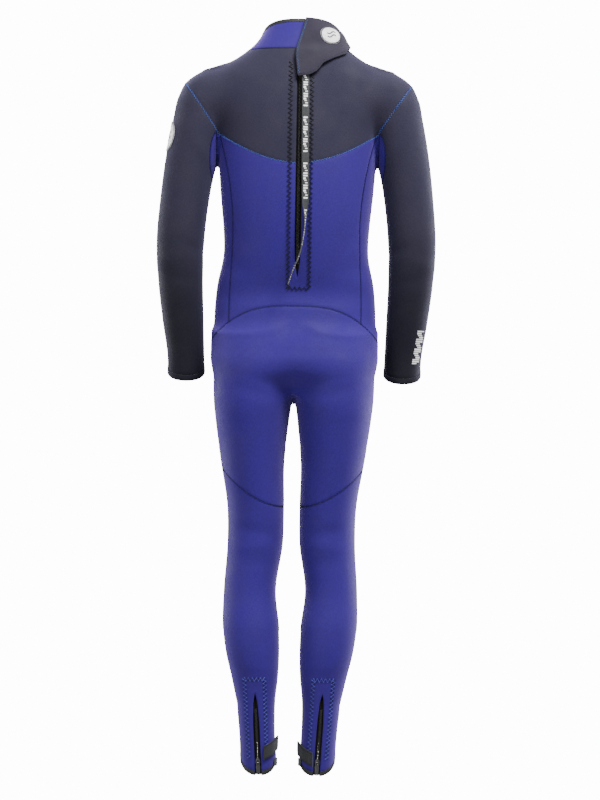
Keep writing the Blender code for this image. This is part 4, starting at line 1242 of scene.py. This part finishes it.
def make_leash():
    route = leash_points()
    line = evenly(route, 0.0030)
    across, face = ribbon_frame(line)
    half, thick = RIBBON_WIDTH / 2, RIBBON_THICK / 2
    profile = ((-1.0, -0.5), (-0.96, -1.0), (-0.5, -1.0), (0.0, -1.0), (0.5, -1.0), (0.96, -1.0), (1.0, -0.5),
               (1.0, 0.5), (0.96, 1.0), (0.5, 1.0), (0.0, 1.0), (-0.5, 1.0), (-0.96, 1.0), (-1.0, 0.5))
    rings = []
    for i in range(len(line)):
        rings.append([line[i] + across[i] * half * a + face[i] * thick * b for a, b in profile])
    ribbon = solid_loft("leash_web", rings, "webbing", angle=60)
    # Plain printed bars in groups along both faces
    reach = np.concatenate([[0], np.cumsum(np.linalg.norm(np.diff(line, axis=0), axis=1))])
    points, faces = [], []
    total = PRINT_GROUP + PRINT_REST
    for number in range(int(reach[-1] / PRINT_PITCH) - 1):
        place = number % total
        if place >= PRINT_GROUP:
            continue
        low = (number + 0.6) * PRINT_PITCH
        span = (0.62, 0.40, 0.62, 0.80, 0.40)[(place * 3) % 5] * PRINT_PITCH
        left, right = ((-0.55, 0.55), (-0.55, 0.10), (-0.10, 0.55), (-0.55, 0.55),
                       (-0.30, 0.30))[place * 2 % 5]
        for way in (1.0, -1.0):
            base = len(points)
            for lift in (0.2, 1.16):
                for t in (low, low + span):
                    spot = np.array([np.interp(t, reach, line[:, k]) for k in range(3)])
                    wide = np.array([np.interp(t, reach, across[:, k]) for k in range(3)])
                    flat = np.array([np.interp(t, reach, face[:, k]) for k in range(3)])
                    for a in (left, right):
                        points.append(spot + wide * half * a + flat * thick * way * lift)
            quads = ((0, 1, 3, 2), (4, 6, 7, 5), (0, 4, 5, 1), (2, 3, 7, 6), (0, 2, 6, 4), (1, 5, 7, 3))
            faces += [[base + i for i in (q if way < 0 else q[::-1])] for q in quads]
    marks = facing_out(add_mesh("marks", points, faces, ("white_print",)))
    leash = join("zip_leash_ribbon", [ribbon, marks])
    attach(leash, "back_slider")
    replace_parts(leash, "zip_leash")
    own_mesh(leash)


def make_flap():
    nape = lambda p: (p[:, 1] > FLAP_HINGE_Y - 0.006) & (p[:, 2] > -0.08)
    top = lambda p: neck_edge(p) + 0.0005
    edges = [(flap_field, nape, 0.0008), (offset(flap_field, -0.0018), nape, 0.0005),
             (top, nape, 0.0006), (offset(top, -0.0018), nape, 0.0004),
             (lambda p: p[:, 1] - FLAP_HINGE_Y, nape, 0.0006)]
    keep = lambda p: nape(p) & (flap_field(p) < 0) & (p[:, 1] > FLAP_HINGE_Y) & (neck_edge(p) < -0.0005)
    block = ((-0.105, -0.030, -0.075), (0.024, 0.095, 0.062))
    points, faces = region_mesh(block, edges, keep)
    sewn_down = lambda p: flap_lift(p) - (FLAP_SEWN - 0.0002) * smooth((-0.003 - p[:, 1]) / 0.009)
    flap = shell("collar_flap_foam", points, faces, sewn_down, lambda p: flap_lift(p) + FLAP_THICKNESS,
                 ("flap_jersey", "foam_edge", "lining"), lambda p: np.ones(len(p), bool))
    outer = lambda p: flap_lift(p) + FLAP_THICKNESS
    free_edge = [(x - 0.0026, z) for x, z in FLAP_OUTLINE[2:6]]
    line = surface_line([(-0.0110, 0.0265)] + free_edge + [(-0.0008, -0.0625)])
    edge_thread = tubes("flap_edge_thread", [sewn(line, 0.0024, 0.0013, 0.0001, outer)], 0.00036,
                        "thread_teal")
    low = [(0.0000, -0.0626)] + [(x + 0.0015, z + 0.0032) for x, z in FLAP_OUTLINE[7:12]]
    pts, out = sewn(surface_line(low), 0.0024, 0.0009, 0.0001, outer)
    low_thread = tubes("flap_lower_thread", [(pts, out)], 0.00028, "thread_navy")
    for piece, slot_name in ((flap, "black_jersey"), (edge_thread, "blue_jersey"),
                             (low_thread, "black_jersey")):
        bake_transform(piece)
    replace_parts(flap, "collar_flap")


def badge(name, near_point, radius, lift, body_name, node):
    """A printed round badge: a white disc, a raised dark rim, a ring of dots and a pair of waves."""
    centre = on_surface(np.array([near_point]))[0]
    normal = outward(centre[None])[0]
    side_way = np.cross((0.0, 0.0, 1.0), normal)
    side_way /= np.linalg.norm(side_way)
    up_way = np.cross(normal, side_way)

    def place(u, v, rise):
        p = centre + side_way * u + up_way * v
        p = on_surface(p[None], 6)
        base = lift(p)[0] if callable(lift) else lift
        return p[0] + outward(p)[0] * (base + rise)

    turns = [2 * math.pi * k / 40 for k in range(40)]
    levels = ((0.05, 0.0), (0.985, 0.0), (1.0, 0.0003), (0.985, BADGE_THICKNESS), (0.66, BADGE_THICKNESS),
              (0.33, BADGE_THICKNESS), (0.05, BADGE_THICKNESS))
    rings = [[place(r * radius * math.cos(a), r * radius * math.sin(a), rise) for a in turns]
             for r, rise in levels]
    pieces = [solid_loft("disc", rings, "badge_print", angle=40)]
    strokes = []

    def stroke(spots):
        line = np.array([place(u * radius, v * radius, BADGE_THICKNESS + 0.00005) for u, v in spots])
        strokes.append((line, np.tile(normal, (len(line), 1))))

    stroke([(0.925 * math.cos(a), 0.925 * math.sin(a)) for a in np.linspace(0, 2 * math.pi, 49)])
    pieces.append(tubes("rim", strokes, radius * 0.075, "dark_print", sides=6, flatten=0.25))
    strokes.clear()
    for level in (0.20, -0.16):
        stroke([(u, level + 0.12 * math.sin(u * 7.5)) for u in np.linspace(-0.40, 0.40, 17)])
    pieces.append(tubes("waves", strokes, radius * 0.070, "dark_print", sides=6, flatten=0.25))
    strokes.clear()
    for k in range(12):
        a = 2 * math.pi * k / 12
        stroke([(r * math.cos(a + d), r * math.sin(a + d))
                for r, d in ((0.74, -0.05), (0.75, 0.0), (0.74, 0.05))])
    pieces.append(tubes("dots", strokes, radius * 0.030, "grey_print", sides=6, flatten=0.3))
    made = join(name, pieces)
    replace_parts(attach(made, body_name), node)


PRINT_TOP = -0.4540
PRINT_MIDDLE = (-0.1985, 0.150)
PRINT_HALF = 0.0052


def make_sleeve_print():
    """Plain printed bars and blocks in a column down the back of the right forearm's outer side."""
    points, faces = [], []
    z = PRINT_TOP
    for number in range(17):
        tall = (0.0018, 0.0028, 0.0018, 0.0022)[number % 4]
        left, right = ((-1.0, 1.0), (-1.0, 0.2), (-0.3, 1.0), (-1.0, 1.0), (-0.6, 0.6))[number * 2 % 5]
        middle_of = PRINT_MIDDLE[0] - PRINT_MIDDLE[1] * (z - PRINT_TOP)
        base = len(points)
        for rise in (0.0001, 0.0005):
            for dz in (0.0, -tall):
                spots = [(middle_of + PRINT_HALF * v, 0.0, z + dz) for v in np.linspace(left, right, 4)]
                depth = read(np.array(spots)[:, 2], ARM_TABLE)[2]
                line = on_back(np.array(spots), depth, depth + 0.10)
                points += list(line + outward(line) * rise)
        lower, upper = base, base + 8
        for k in range(3):
            faces.append([upper + k, upper + k + 1, upper + k + 5, upper + k + 4])
            faces.append([lower + k, lower + k + 4, lower + k + 5, lower + k + 1])
            faces.append([lower + k, lower + k + 1, upper + k + 1, upper + k])
            faces.append([lower + k + 4, upper + k + 4, upper + k + 5, lower + k + 5])
        faces.append([lower, upper, upper + 4, lower + 4])
        faces.append([lower + 3, lower + 7, upper + 7, upper + 3])
        z -= tall + 0.0010
    made = facing_out(add_mesh("sleeve_print", points, faces, ("white_print",)))
    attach(made, "suit")


def make_ankle_zip(side, label):
    high = ANKLE_ZIP_TOP + 0.014
    reach = ANKLE_TAPE_HALF + 0.010
    centre = side * float(leg_centre(np.array([-1.10]))[0])
    block = ((centre - reach - 0.008, 0.012, -1.175), (centre + reach + 0.008, 0.062, high + 0.010))
    aside = lambda p: (p[:, 0] - side * leg_centre(p[:, 2])) * side
    end = lambda p: ankle_edge(p) - 0.0010
    for sign, edge_name in ((1, "outer"), (-1, "inner")):
        edges = [(height(high), None, 0.0004), (end, None, 0.0004),
                 (lambda p: aside(p) * sign - 0.0002, None, 0.0004),
                 (lambda p: aside(p) * sign - ANKLE_TAPE_HALF, None, 0.0004)]
        keep = lambda p: ((p[:, 2] < high) & (end(p) > 0) & (aside(p) * sign > 0.0002) & behind(p)
                          & (aside(p) * sign < ANKLE_TAPE_HALF))
        piece = shell(f"ankle_zip_woven_tape_{edge_name}_{label}",
                      *region_mesh(block, edges, keep), *TAPE_DEPTH,
                      ("zip_tape",) * 3)
        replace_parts(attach(piece, "suit"), f"ankle_zip_tape_{edge_name}_{label}")
    low = ANKLE_SLIDER_REST - 0.008
    frames = [ankle_frame(side, z) for z in np.arange(low, ANKLE_ZIP_TOP, 0.0011)]
    chain = coil_teeth("ankle_zip_coil_" + label, frames, ANKLE_HARDWARE_SCALE)
    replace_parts(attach(chain, "suit"), "ankle_zip_chain_" + label)
    rest = ankle_frame(side, ANKLE_SLIDER_REST)
    slider = join("ankle_slider_body_" + label, slider_body(rest, ANKLE_HARDWARE_SCALE))
    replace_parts(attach(slider, "ankle_slider_" + label), "ankle_zip_slider_" + label)
    centre, out, across, up = rest
    start = centre + out * (SLIDER_TOP * ANKLE_HARDWARE_SCALE + TAB_GAP)
    grip = join("ankle_pull_" + label, [pull_tab((start, out, across, up), ANKLE_TAB_HALF,
                                                 ANKLE_TAB_LENGTH, 0.0)])
    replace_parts(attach(grip, "ankle_tab_" + label), "ankle_pull_tab_" + label)
    make_strap(side, label)
    make_loop_patch(side, label)


def band(name, sections, half, thick, material, cut=0.0):
    """A flat band through (place, out) sections, its far corner cut and its edges rounded."""
    rings = []
    profile = ((-1.0, 0.15), (-1.0, 0.85), (-0.93, 1.0), (-0.5, 1.0), (0.0, 1.0), (0.5, 1.0), (0.93, 1.0),
               (1.0, 0.85), (1.0, 0.15), (0.93, 0.0), (0.0, 0.0), (-0.93, 0.0))
    last = len(sections) - 1
    for number, (place, out) in enumerate(sections):
        end = max(0.0, number / last - 0.86) / 0.14
        flat = Vector((out.x, out.y, 0.0)).normalized() * thick
        ring = []
        for v, t in profile:
            v = min(v, 1.0 - 0.10 * end)
            v = max(v, -1.0 + cut * end)
            ring.append(place + Vector((0, 0, half * v)) + flat * t)
        rings.append(ring)
    return solid_loft(name, [[tuple(p) for p in ring] for ring in rings], material, angle=35)


def strap_sections(side):
    spots = []
    travelled = 0.0
    last = None
    height_of_root, aside, wrap = STRAP_ROOTS[side]
    for angle in np.linspace(wrap[0], wrap[-1], 9):
        point, out = leg_point(side, height_of_root, float(angle))
        if last is not None:
            travelled += (point - last).length
        last = point
        spots.append((point + Vector((0, 0, travelled * STRAP_RISE)) + out * STRAP_STAND_OFF, out))
    way = (spots[-1][0] - spots[-2][0]).normalized()
    place, out = spots[-1]
    for share in (0.2, 0.4, 0.6, 0.8, 0.9, 1.0):
        spots.append((place + way * STRAP_FREE_END * share, out))
    return spots


def make_strap(side, label):
    spots = strap_sections(side)
    strap = band("strap_web_" + label, spots, STRAP_WIDTH / 2, STRAP_THICKNESS, "hook_and_loop", cut=0.55)
    lines = []
    for v in (-0.86, 0.86):
        line = [tuple(place + Vector((0, 0, STRAP_WIDTH / 2 * v))
                      + Vector((out.x, out.y, 0)).normalized() * (STRAP_THICKNESS + 1e-4))
                for place, out in spots[:14]]
        lines.append((np.array(line), np.array([tuple(out) for place, out in spots[:14]])))
    thread = tubes("strap_thread_" + label, lines, 0.00022, "thread_navy")
    axis_place, up = strap_axis(side)
    toward = (spots[3][0] - spots[0][0]).normalized()
    start, end = axis_place, axis_place + toward * 0.007
    for piece in (strap, thread):
        tuple(end)
        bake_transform(piece)
    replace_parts(strap, "ankle_strap_" + label)


def make_loop_patch(side, label):
    low, high = LOOP_PATCH_OFFSETS
    spots = []
    for angle in np.linspace(LOOP_PATCH_ANGLES[0], LOOP_PATCH_ANGLES[-1], 9):
        point, out = leg_point(side, LOOP_PATCH_HEIGHT, float(angle))
        spots.append((point + out * low, out))
    patch = band("loop_patch_" + label, spots, LOOP_PATCH_WIDTH / 2, high - low, "hook_and_loop")
    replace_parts(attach(patch, "suit"), "ankle_loop_patch_" + label)


# Rows beside the zips: places, heights and each zigzag's pitch, half width and lift
PLACKET_LEFT = 0.0122
PLACKET_RIGHT = -0.0207
PLACKET_TOP = -0.040
PLACKET_ZIGZAG = (0.0038, 0.0028, 0.0005)
ANKLE_ROW = 0.0155
ROW_TOP = -1.003
ROW_BOTTOM = -1.128
ANKLE_ZIGZAG = (0.0033, 0.0031, 0.0002)


def make_placket_threads():
    """Zigzag rows beside the zips: black beside the back zip, pale and navy round the ankle zips."""
    dark, navy, pale = [], [], []
    low = BACK_ZIP_BOTTOM - 0.001
    for places in ([(PLACKET_LEFT, z) for z in np.linspace(PLACKET_TOP, low, 40)],
                   [(PLACKET_RIGHT, z) for z in np.linspace(PLACKET_TOP, low, 40)],
                   [(PLACKET_LEFT, low), (PLACKET_RIGHT, low)]):
        dark.append(sewn(surface_line(places), *PLACKET_ZIGZAG))
    for side in (1, -1):
        across = lambda z, o: (side * float(leg_centre(np.array([z]))[0]) + o, z)
        rows = [[across(z, o * (1.0 + 0.10 * (z + 1.02) / 0.12))
                 for z in np.linspace(ROW_TOP, ROW_BOTTOM, 30)]
                for o in (-ANKLE_ROW, ANKLE_ROW)]
        for places in rows + [[across(ROW_TOP, -ANKLE_ROW), across(ROW_TOP, ANKLE_ROW)]]:
            line = surface_line(places)
            pitch, half, lift = ANKLE_ZIGZAG
            pale.append(sewn(line, pitch, half, lift))
            navy.append(sewn(line, pitch, -half, lift))
    for name, found, radius, material, slot_name in (
            ("placket_thread_dark", dark, 0.00110, "thread_black", "black_jersey"),
            ("ankle_thread_navy", navy, 0.00042, "thread_navy", "black_jersey"),
            ("ankle_thread_pale", pale, 0.00058, "thread_pale", "blue_jersey")):
        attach(tubes(name, found, radius, material), "suit")


def make_edge_threads(lines):
    """A zigzag over the middle of each binding, and short stitches above the cuff hems."""
    zigzags, runs = [], []
    for pair, found in sorted(lines.items(), key=lambda item: sorted(item[0])):
        for line in found:
            if "cuff_hem" in pair:
                runs += running(line, 0.0034, 0.62, 0.0006)
            elif "collar_binding" in pair:
                zigzags.append(sewn(line, 0.0022, 0.0010, 0.0006))
            elif "ankle_binding" in pair:
                zigzags.append(sewn(line, 0.0024, 0.0009, 0.0006))
    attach(tubes("binding_thread", zigzags, 0.00026, "thread_grey"), "suit")
    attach(tubes("cuff_thread", runs, 0.00026, "thread_grey"), "suit")


# --- materials --------------------------------------------------------------------------------------

# Base colour, how much the grain and the slow blotches change it, roughness and sheen
FABRICS = {
    "black_jersey": ((0.0148, 0.0127, 0.0306), 0.14, 0.06, 0.78, 0.26, (0.56, 0.52, 0.90)),
    # The sleeves' jersey carries painted shade: the black jersey's colour, made a little lighter, then
    # darkened towards the cuffs
    "sleeve_jersey_painted_shade": ((0.0168, 0.0146, 0.0335), 0.14, 0.06, 0.78, 0.20, (0.56, 0.52, 0.90)),
    "flap_jersey": ((0.0178, 0.0148, 0.0278), 0.14, 0.06, 0.80, 0.22, (0.70, 0.64, 0.82)),
    "blue_jersey": ((0.0198, 0.0054, 0.1500), 0.14, 0.06, 0.72, 0.34, (0.50, 0.36, 1.00)),
    "knee_fabric": ((0.0140, 0.0140, 0.0180), 0.30, 0.10, 0.70, 0.15, (0.60, 0.60, 0.70)),
    "lining": ((0.0120, 0.0120, 0.0150), 0.30, 0.12, 0.85, 0.15, (0.50, 0.50, 0.60)),
    "zip_tape": ((0.0040, 0.0040, 0.0045), 0.30, 0.05, 0.85, 0.03, (0.50, 0.50, 0.50)),
    "webbing": ((0.0360, 0.0380, 0.0400), 0.24, 0.06, 0.75, 0.12, (0.70, 0.70, 0.70)),
    "hook_and_loop": ((0.0200, 0.0210, 0.0230), 0.40, 0.12, 0.95, 0.30, (0.60, 0.62, 0.66)),
    "thread_blue": ((0.0550, 0.1100, 0.4300), 0.25, 0.15, 0.50, 0.30, (0.60, 0.70, 1.00)),
    "thread_pale": ((0.0850, 0.0850, 0.4600), 0.25, 0.15, 0.50, 0.30, (0.60, 0.70, 1.00)),
    "thread_teal": ((0.0260, 0.0800, 0.2300), 0.25, 0.15, 0.55, 0.20, (0.60, 0.70, 1.00)),
    "thread_navy": ((0.0030, 0.0040, 0.0180), 0.25, 0.15, 0.55, 0.10, (0.40, 0.50, 0.80)),
    "thread_black": ((0.0020, 0.0020, 0.0060), 0.25, 0.10, 0.50, 0.08, (0.40, 0.40, 0.60)),
    "thread_grey": ((0.0500, 0.0520, 0.0600), 0.30, 0.10, 0.55, 0.20, (0.80, 0.80, 0.80)),
}
# Base colour, roughness, metallic and the size and depth of the surface's fine texture
PLAINS = {
    "black_rubber": ((0.0060, 0.0060, 0.0075), 0.62, 0.0, 900.0, 0.35),
    "foam_edge": ((0.0050, 0.0050, 0.0060), 0.90, 0.0, 1500.0, 0.60),
    "zip_coil": ((0.0050, 0.0050, 0.0055), 0.52, 0.0, 700.0, 0.10),
    "slider_metal": ((0.1000, 0.1010, 0.1060), 0.34, 1.0, 500.0, 0.15),
    "badge_print": ((0.9000, 0.9000, 0.9100), 0.45, 0.0, 900.0, 0.12),
    "white_print": ((0.9000, 0.9000, 0.9100), 0.50, 0.0, 900.0, 0.15),
    "dark_print": ((0.0200, 0.0180, 0.0260), 0.45, 0.0, 900.0, 0.10),
    "grey_print": ((0.3000, 0.3000, 0.3200), 0.50, 0.0, 900.0, 0.10),
}
MATERIAL = {}


def graph(name):
    material = bpy.data.materials.new(name)
    material.use_nodes = True
    nodes, links = material.node_tree.nodes, material.node_tree.links
    return material, nodes, links, nodes["Principled BSDF"]


def noise_of(nodes, links, where, scale, detail, low=0.35, high=0.65):
    noise = nodes.new("ShaderNodeTexNoise")
    noise.inputs["Scale"].default_value = scale
    noise.inputs["Detail"].default_value = detail
    links.new(where, noise.inputs["Vector"])
    spread = nodes.new("ShaderNodeMapRange")
    spread.inputs["From Min"].default_value = low
    spread.inputs["From Max"].default_value = high
    links.new(noise.outputs["Fac"], spread.inputs["Value"])
    return spread.outputs["Result"]


def toned(nodes, links, factor, dark, light):
    mix = nodes.new("ShaderNodeMix")
    mix.data_type = "RGBA"
    links.new(factor, mix.inputs["Factor"])
    for socket, value in ((mix.inputs[6], dark), (mix.inputs[7], light)):
        if isinstance(value, tuple):
            socket.default_value = (*value, 1.0)
        else:
            links.new(value, socket)
    return mix.outputs[2]


def bumped(nodes, links, shader, heights, strengths):
    """Fine relief from one or more textures, each on top of the last."""
    normal = None
    for value, strength in zip(heights, strengths):
        bump = nodes.new("ShaderNodeBump")
        bump.inputs["Strength"].default_value = strength
        bump.inputs["Distance"].default_value = 0.0004
        links.new(value, bump.inputs["Height"])
        if normal is not None:
            links.new(normal, bump.inputs["Normal"])
        normal = bump.outputs["Normal"]
    links.new(normal, shader.inputs["Normal"])


def worn(nodes, links, shader, factor, rough, spread):
    """Roughness that varies slowly over the surface."""
    wear = nodes.new("ShaderNodeMapRange")
    wear.inputs["To Min"].default_value = rough - spread
    wear.inputs["To Max"].default_value = min(1.0, rough + spread)
    links.new(factor, wear.inputs["Value"])
    links.new(wear.outputs["Result"], shader.inputs["Roughness"])


def shade(colour, factor):
    return tuple(min(1.0, c * factor) for c in colour)


# Painted shade on the sleeves: their colour darkens from the elbow down, in place of the shade that falls on
# the lower arms; from and to these heights, to this share
SLEEVE_PAINTED_SHADE = (-0.200, -0.480, 0.36)


# Painted shade: scales a colour down towards the bottom, between the heights given above
def painted_shade_below(nodes, links, where, colour):
    split = nodes.new("ShaderNodeSeparateXYZ")
    links.new(where, split.inputs[0])
    level = nodes.new("ShaderNodeMapRange")
    level.interpolation_type = "SMOOTHSTEP"
    for socket, value in (("From Min", SLEEVE_PAINTED_SHADE[1]), ("From Max", SLEEVE_PAINTED_SHADE[0]),
                          ("To Min", SLEEVE_PAINTED_SHADE[2])):
        level.inputs[socket].default_value = value
    links.new(split.outputs["Z"], level.inputs["Value"])
    scale = nodes.new("ShaderNodeVectorMath")
    scale.operation = "SCALE"
    links.new(colour, scale.inputs[0])
    links.new(level.outputs["Result"], scale.inputs["Scale"])
    return scale.outputs["Vector"]


def make_materials():
    for name, (colour, grain, blotch, rough, sheen, tint) in FABRICS.items():
        material, nodes, links, shader = graph(name)
        where = nodes.new("ShaderNodeTexCoord").outputs["Object"]
        fine = noise_of(nodes, links, where, 620.0, 3.0)
        slow = noise_of(nodes, links, where, 22.0, 2.0, 0.3, 0.7)
        low = toned(nodes, links, slow, shade(colour, 1 - grain - blotch), shade(colour, 1 - grain + blotch))
        high = toned(nodes, links, slow, shade(colour, 1 + grain - blotch), shade(colour, 1 + grain + blotch))
        colour_of = toned(nodes, links, fine, low, high)
        # The sleeves' colour gets its painted shade here, darker towards the cuffs
        if name == "sleeve_jersey_painted_shade":
            colour_of = painted_shade_below(nodes, links, where, colour_of)
        links.new(colour_of, shader.inputs["Base Color"])
        stretch = nodes.new("ShaderNodeMapping")
        stretch.inputs["Scale"].default_value = (1.0, 1.0, 0.55)
        links.new(where, stretch.inputs["Vector"])
        knit = nodes.new("ShaderNodeTexVoronoi")
        knit.inputs["Scale"].default_value = 1300.0
        links.new(stretch.outputs["Vector"], knit.inputs["Vector"])
        worn(nodes, links, shader, slow, rough, 0.10)
        bumped(nodes, links, shader, (knit.outputs["Distance"], fine), (0.45, 0.20))
        shader.inputs["Sheen Weight"].default_value = sheen
        shader.inputs["Sheen Roughness"].default_value = 0.45
        shader.inputs["Sheen Tint"].default_value = (*tint, 1.0)
        shader.inputs["Specular IOR Level"].default_value = 0.25
        MATERIAL[name] = material
    for name, (colour, rough, metal, scale, depth) in PLAINS.items():
        material, nodes, links, shader = graph(name)
        where = nodes.new("ShaderNodeTexCoord").outputs["Object"]
        fine = noise_of(nodes, links, where, scale, 3.0)
        slow = noise_of(nodes, links, where, 45.0, 2.0, 0.3, 0.7)
        links.new(toned(nodes, links, slow, shade(colour, 0.86), shade(colour, 1.12)),
                  shader.inputs["Base Color"])
        worn(nodes, links, shader, slow, rough, 0.08)
        shader.inputs["Metallic"].default_value = metal
        bumped(nodes, links, shader, (fine,), (depth,))
        MATERIAL[name] = material


# --- camera, light and floor ------------------------------------------------------------------------

CAMERA_DISTANCE = 4.0
CAMERA_PLACE = (-0.0101, -0.566)
CAMERA_ROLL = 0.95
VIEW_HEIGHT = 1.264
FLOOR = -1.163
FLOOR_FADE = (0.05, 0.80)


def make_camera():
    data = bpy.data.cameras.new("Camera")
    data.sensor_width = 36.0
    data.lens = 18.0 / (VIEW_HEIGHT / 2 / CAMERA_DISTANCE)
    camera = bpy.data.objects.new("Camera", data)
    c, s = math.cos(math.radians(CAMERA_ROLL)), math.sin(math.radians(CAMERA_ROLL))
    right, up, back = Vector((-c, 0.0, s)), Vector((s, 0.0, c)), Vector((0.0, 1.0, 0.0))
    turn = Matrix((right, up, back)).transposed().to_4x4()
    camera.matrix_world = Matrix.Translation((CAMERA_PLACE[0], CAMERA_DISTANCE, CAMERA_PLACE[1])) @ turn
    bpy.context.scene.collection.objects.link(camera)
    bpy.context.scene.camera = camera


# Place, aim, size and power of each soft light
LIGHTS = (
    ("key", (-1.3, 1.7, 2.8), (0.0, 0.0, -0.35), 1.5, 310.0),
    ("fill", (1.7, 2.7, -0.3), (0.0, 0.0, -0.65), 1.8, 38.0),
    ("left_rim", (1.7, -0.9, -0.2), (0.0, 0.0, -0.55), 1.4, 30.0),
    ("right_rim", (-1.7, -0.9, -0.2), (0.0, 0.0, -0.55), 1.4, 30.0),
    ("front", (0.8, -3.0, 0.6), (0.0, 0.0, -0.5), 1.8, 40.0),
)
SURROUND_LIGHT = 0.63
SURROUND_WHITE = 14.0


def seen_or_lit(nodes, links):
    """The surround's brightness: a plain white to look at, and a softer light for what stands in it."""
    level = nodes.new("ShaderNodeMapRange")
    level.inputs["To Min"].default_value = SURROUND_LIGHT
    level.inputs["To Max"].default_value = SURROUND_WHITE
    links.new(nodes.new("ShaderNodeLightPath").outputs["Is Camera Ray"], level.inputs["Value"])
    return level.outputs["Result"]


def make_light():
    for name, place, aim, size, power in LIGHTS:
        data = bpy.data.lights.new(name, "AREA")
        data.size = size
        data.energy = power
        lamp = bpy.data.objects.new(name, data)
        way = Vector(aim) - Vector(place)
        lamp.matrix_world = Matrix.Translation(place) @ way.to_track_quat("-Z", "Y").to_matrix().to_4x4()
        bpy.context.scene.collection.objects.link(lamp)
    world = bpy.data.worlds.new("World")
    world.use_nodes = True
    nodes, links = world.node_tree.nodes, world.node_tree.links
    links.new(seen_or_lit(nodes, links), nodes["Background"].inputs["Strength"])
    nodes["Background"].inputs["Color"].default_value = (1.0, 1.0, 1.0, 1.0)
    bpy.context.scene.world = world


def make_floor():
    """A wide pale floor that brightens into the white surround."""
    rings = [0.0, 0.5, 1.0, 2.0, 4.0, 8.0, 20.0, 60.0, 200.0]
    points, faces = [(0.0, 0.0, FLOOR)], []
    for r in rings[1:]:
        points += [(r * math.cos(2 * math.pi * k / 64), r * math.sin(2 * math.pi * k / 64), FLOOR)
                   for k in range(64)]
    for k in range(64):
        m = (k + 1) % 64
        faces.append((0, 1 + k, 1 + m))
        for ring in range(len(rings) - 2):
            a, b = 1 + ring * 64, 1 + (ring + 1) * 64
            faces.append((a + k, b + k, b + m, a + m))
    material, nodes, links, shader = graph("pale_floor")
    shader.inputs["Base Color"].default_value = (0.86, 0.86, 0.87, 1.0)
    shader.inputs["Roughness"].default_value = 0.85
    where = nodes.new("ShaderNodeTexCoord").outputs["Object"]
    reach = nodes.new("ShaderNodeVectorMath")
    reach.operation = "LENGTH"
    links.new(where, reach.inputs[0])
    far = nodes.new("ShaderNodeMapRange")
    far.interpolation_type = "SMOOTHSTEP"
    far.inputs["From Min"].default_value = FLOOR_FADE[0]
    far.inputs["From Max"].default_value = FLOOR_FADE[1]
    links.new(reach.outputs["Value"], far.inputs["Value"])
    glow = nodes.new("ShaderNodeEmission")
    glow.inputs["Color"].default_value = (1.0, 1.0, 1.0, 1.0)
    links.new(seen_or_lit(nodes, links), glow.inputs["Strength"])
    both = nodes.new("ShaderNodeMixShader")
    links.new(far.outputs["Result"], both.inputs[0])
    links.new(shader.outputs[0], both.inputs[1])
    links.new(glow.outputs[0], both.inputs[2])
    links.new(both.outputs[0], nodes["Material Output"].inputs["Surface"])
    MATERIAL["pale_floor"] = material
    add_mesh("floor", points, faces, ("pale_floor",))


# --- everything, in order ---------------------------------------------------------------------------

make_camera()
make_materials()
make_leash()
make_back_zip()
make_flap()
badge("collar_badge_print", COLLAR_BADGE, COLLAR_BADGE_RADIUS,
      lambda p: flap_lift(p) + FLAP_THICKNESS + 0.0002,
      "flap", "collar_badge")
badge("sleeve_badge_print", SLEEVE_BADGE, SLEEVE_BADGE_RADIUS, 0.0002, "suit", "sleeve_badge")
make_sleeve_print()
for side, label in ((1, "left"), (-1, "right")):
    make_ankle_zip(side, label)
panels = make_panels()
seams = seam_lines(*panels)
make_seam_threads(seams)
make_edge_threads(seams)
make_placket_threads()
make_light()
make_floor()
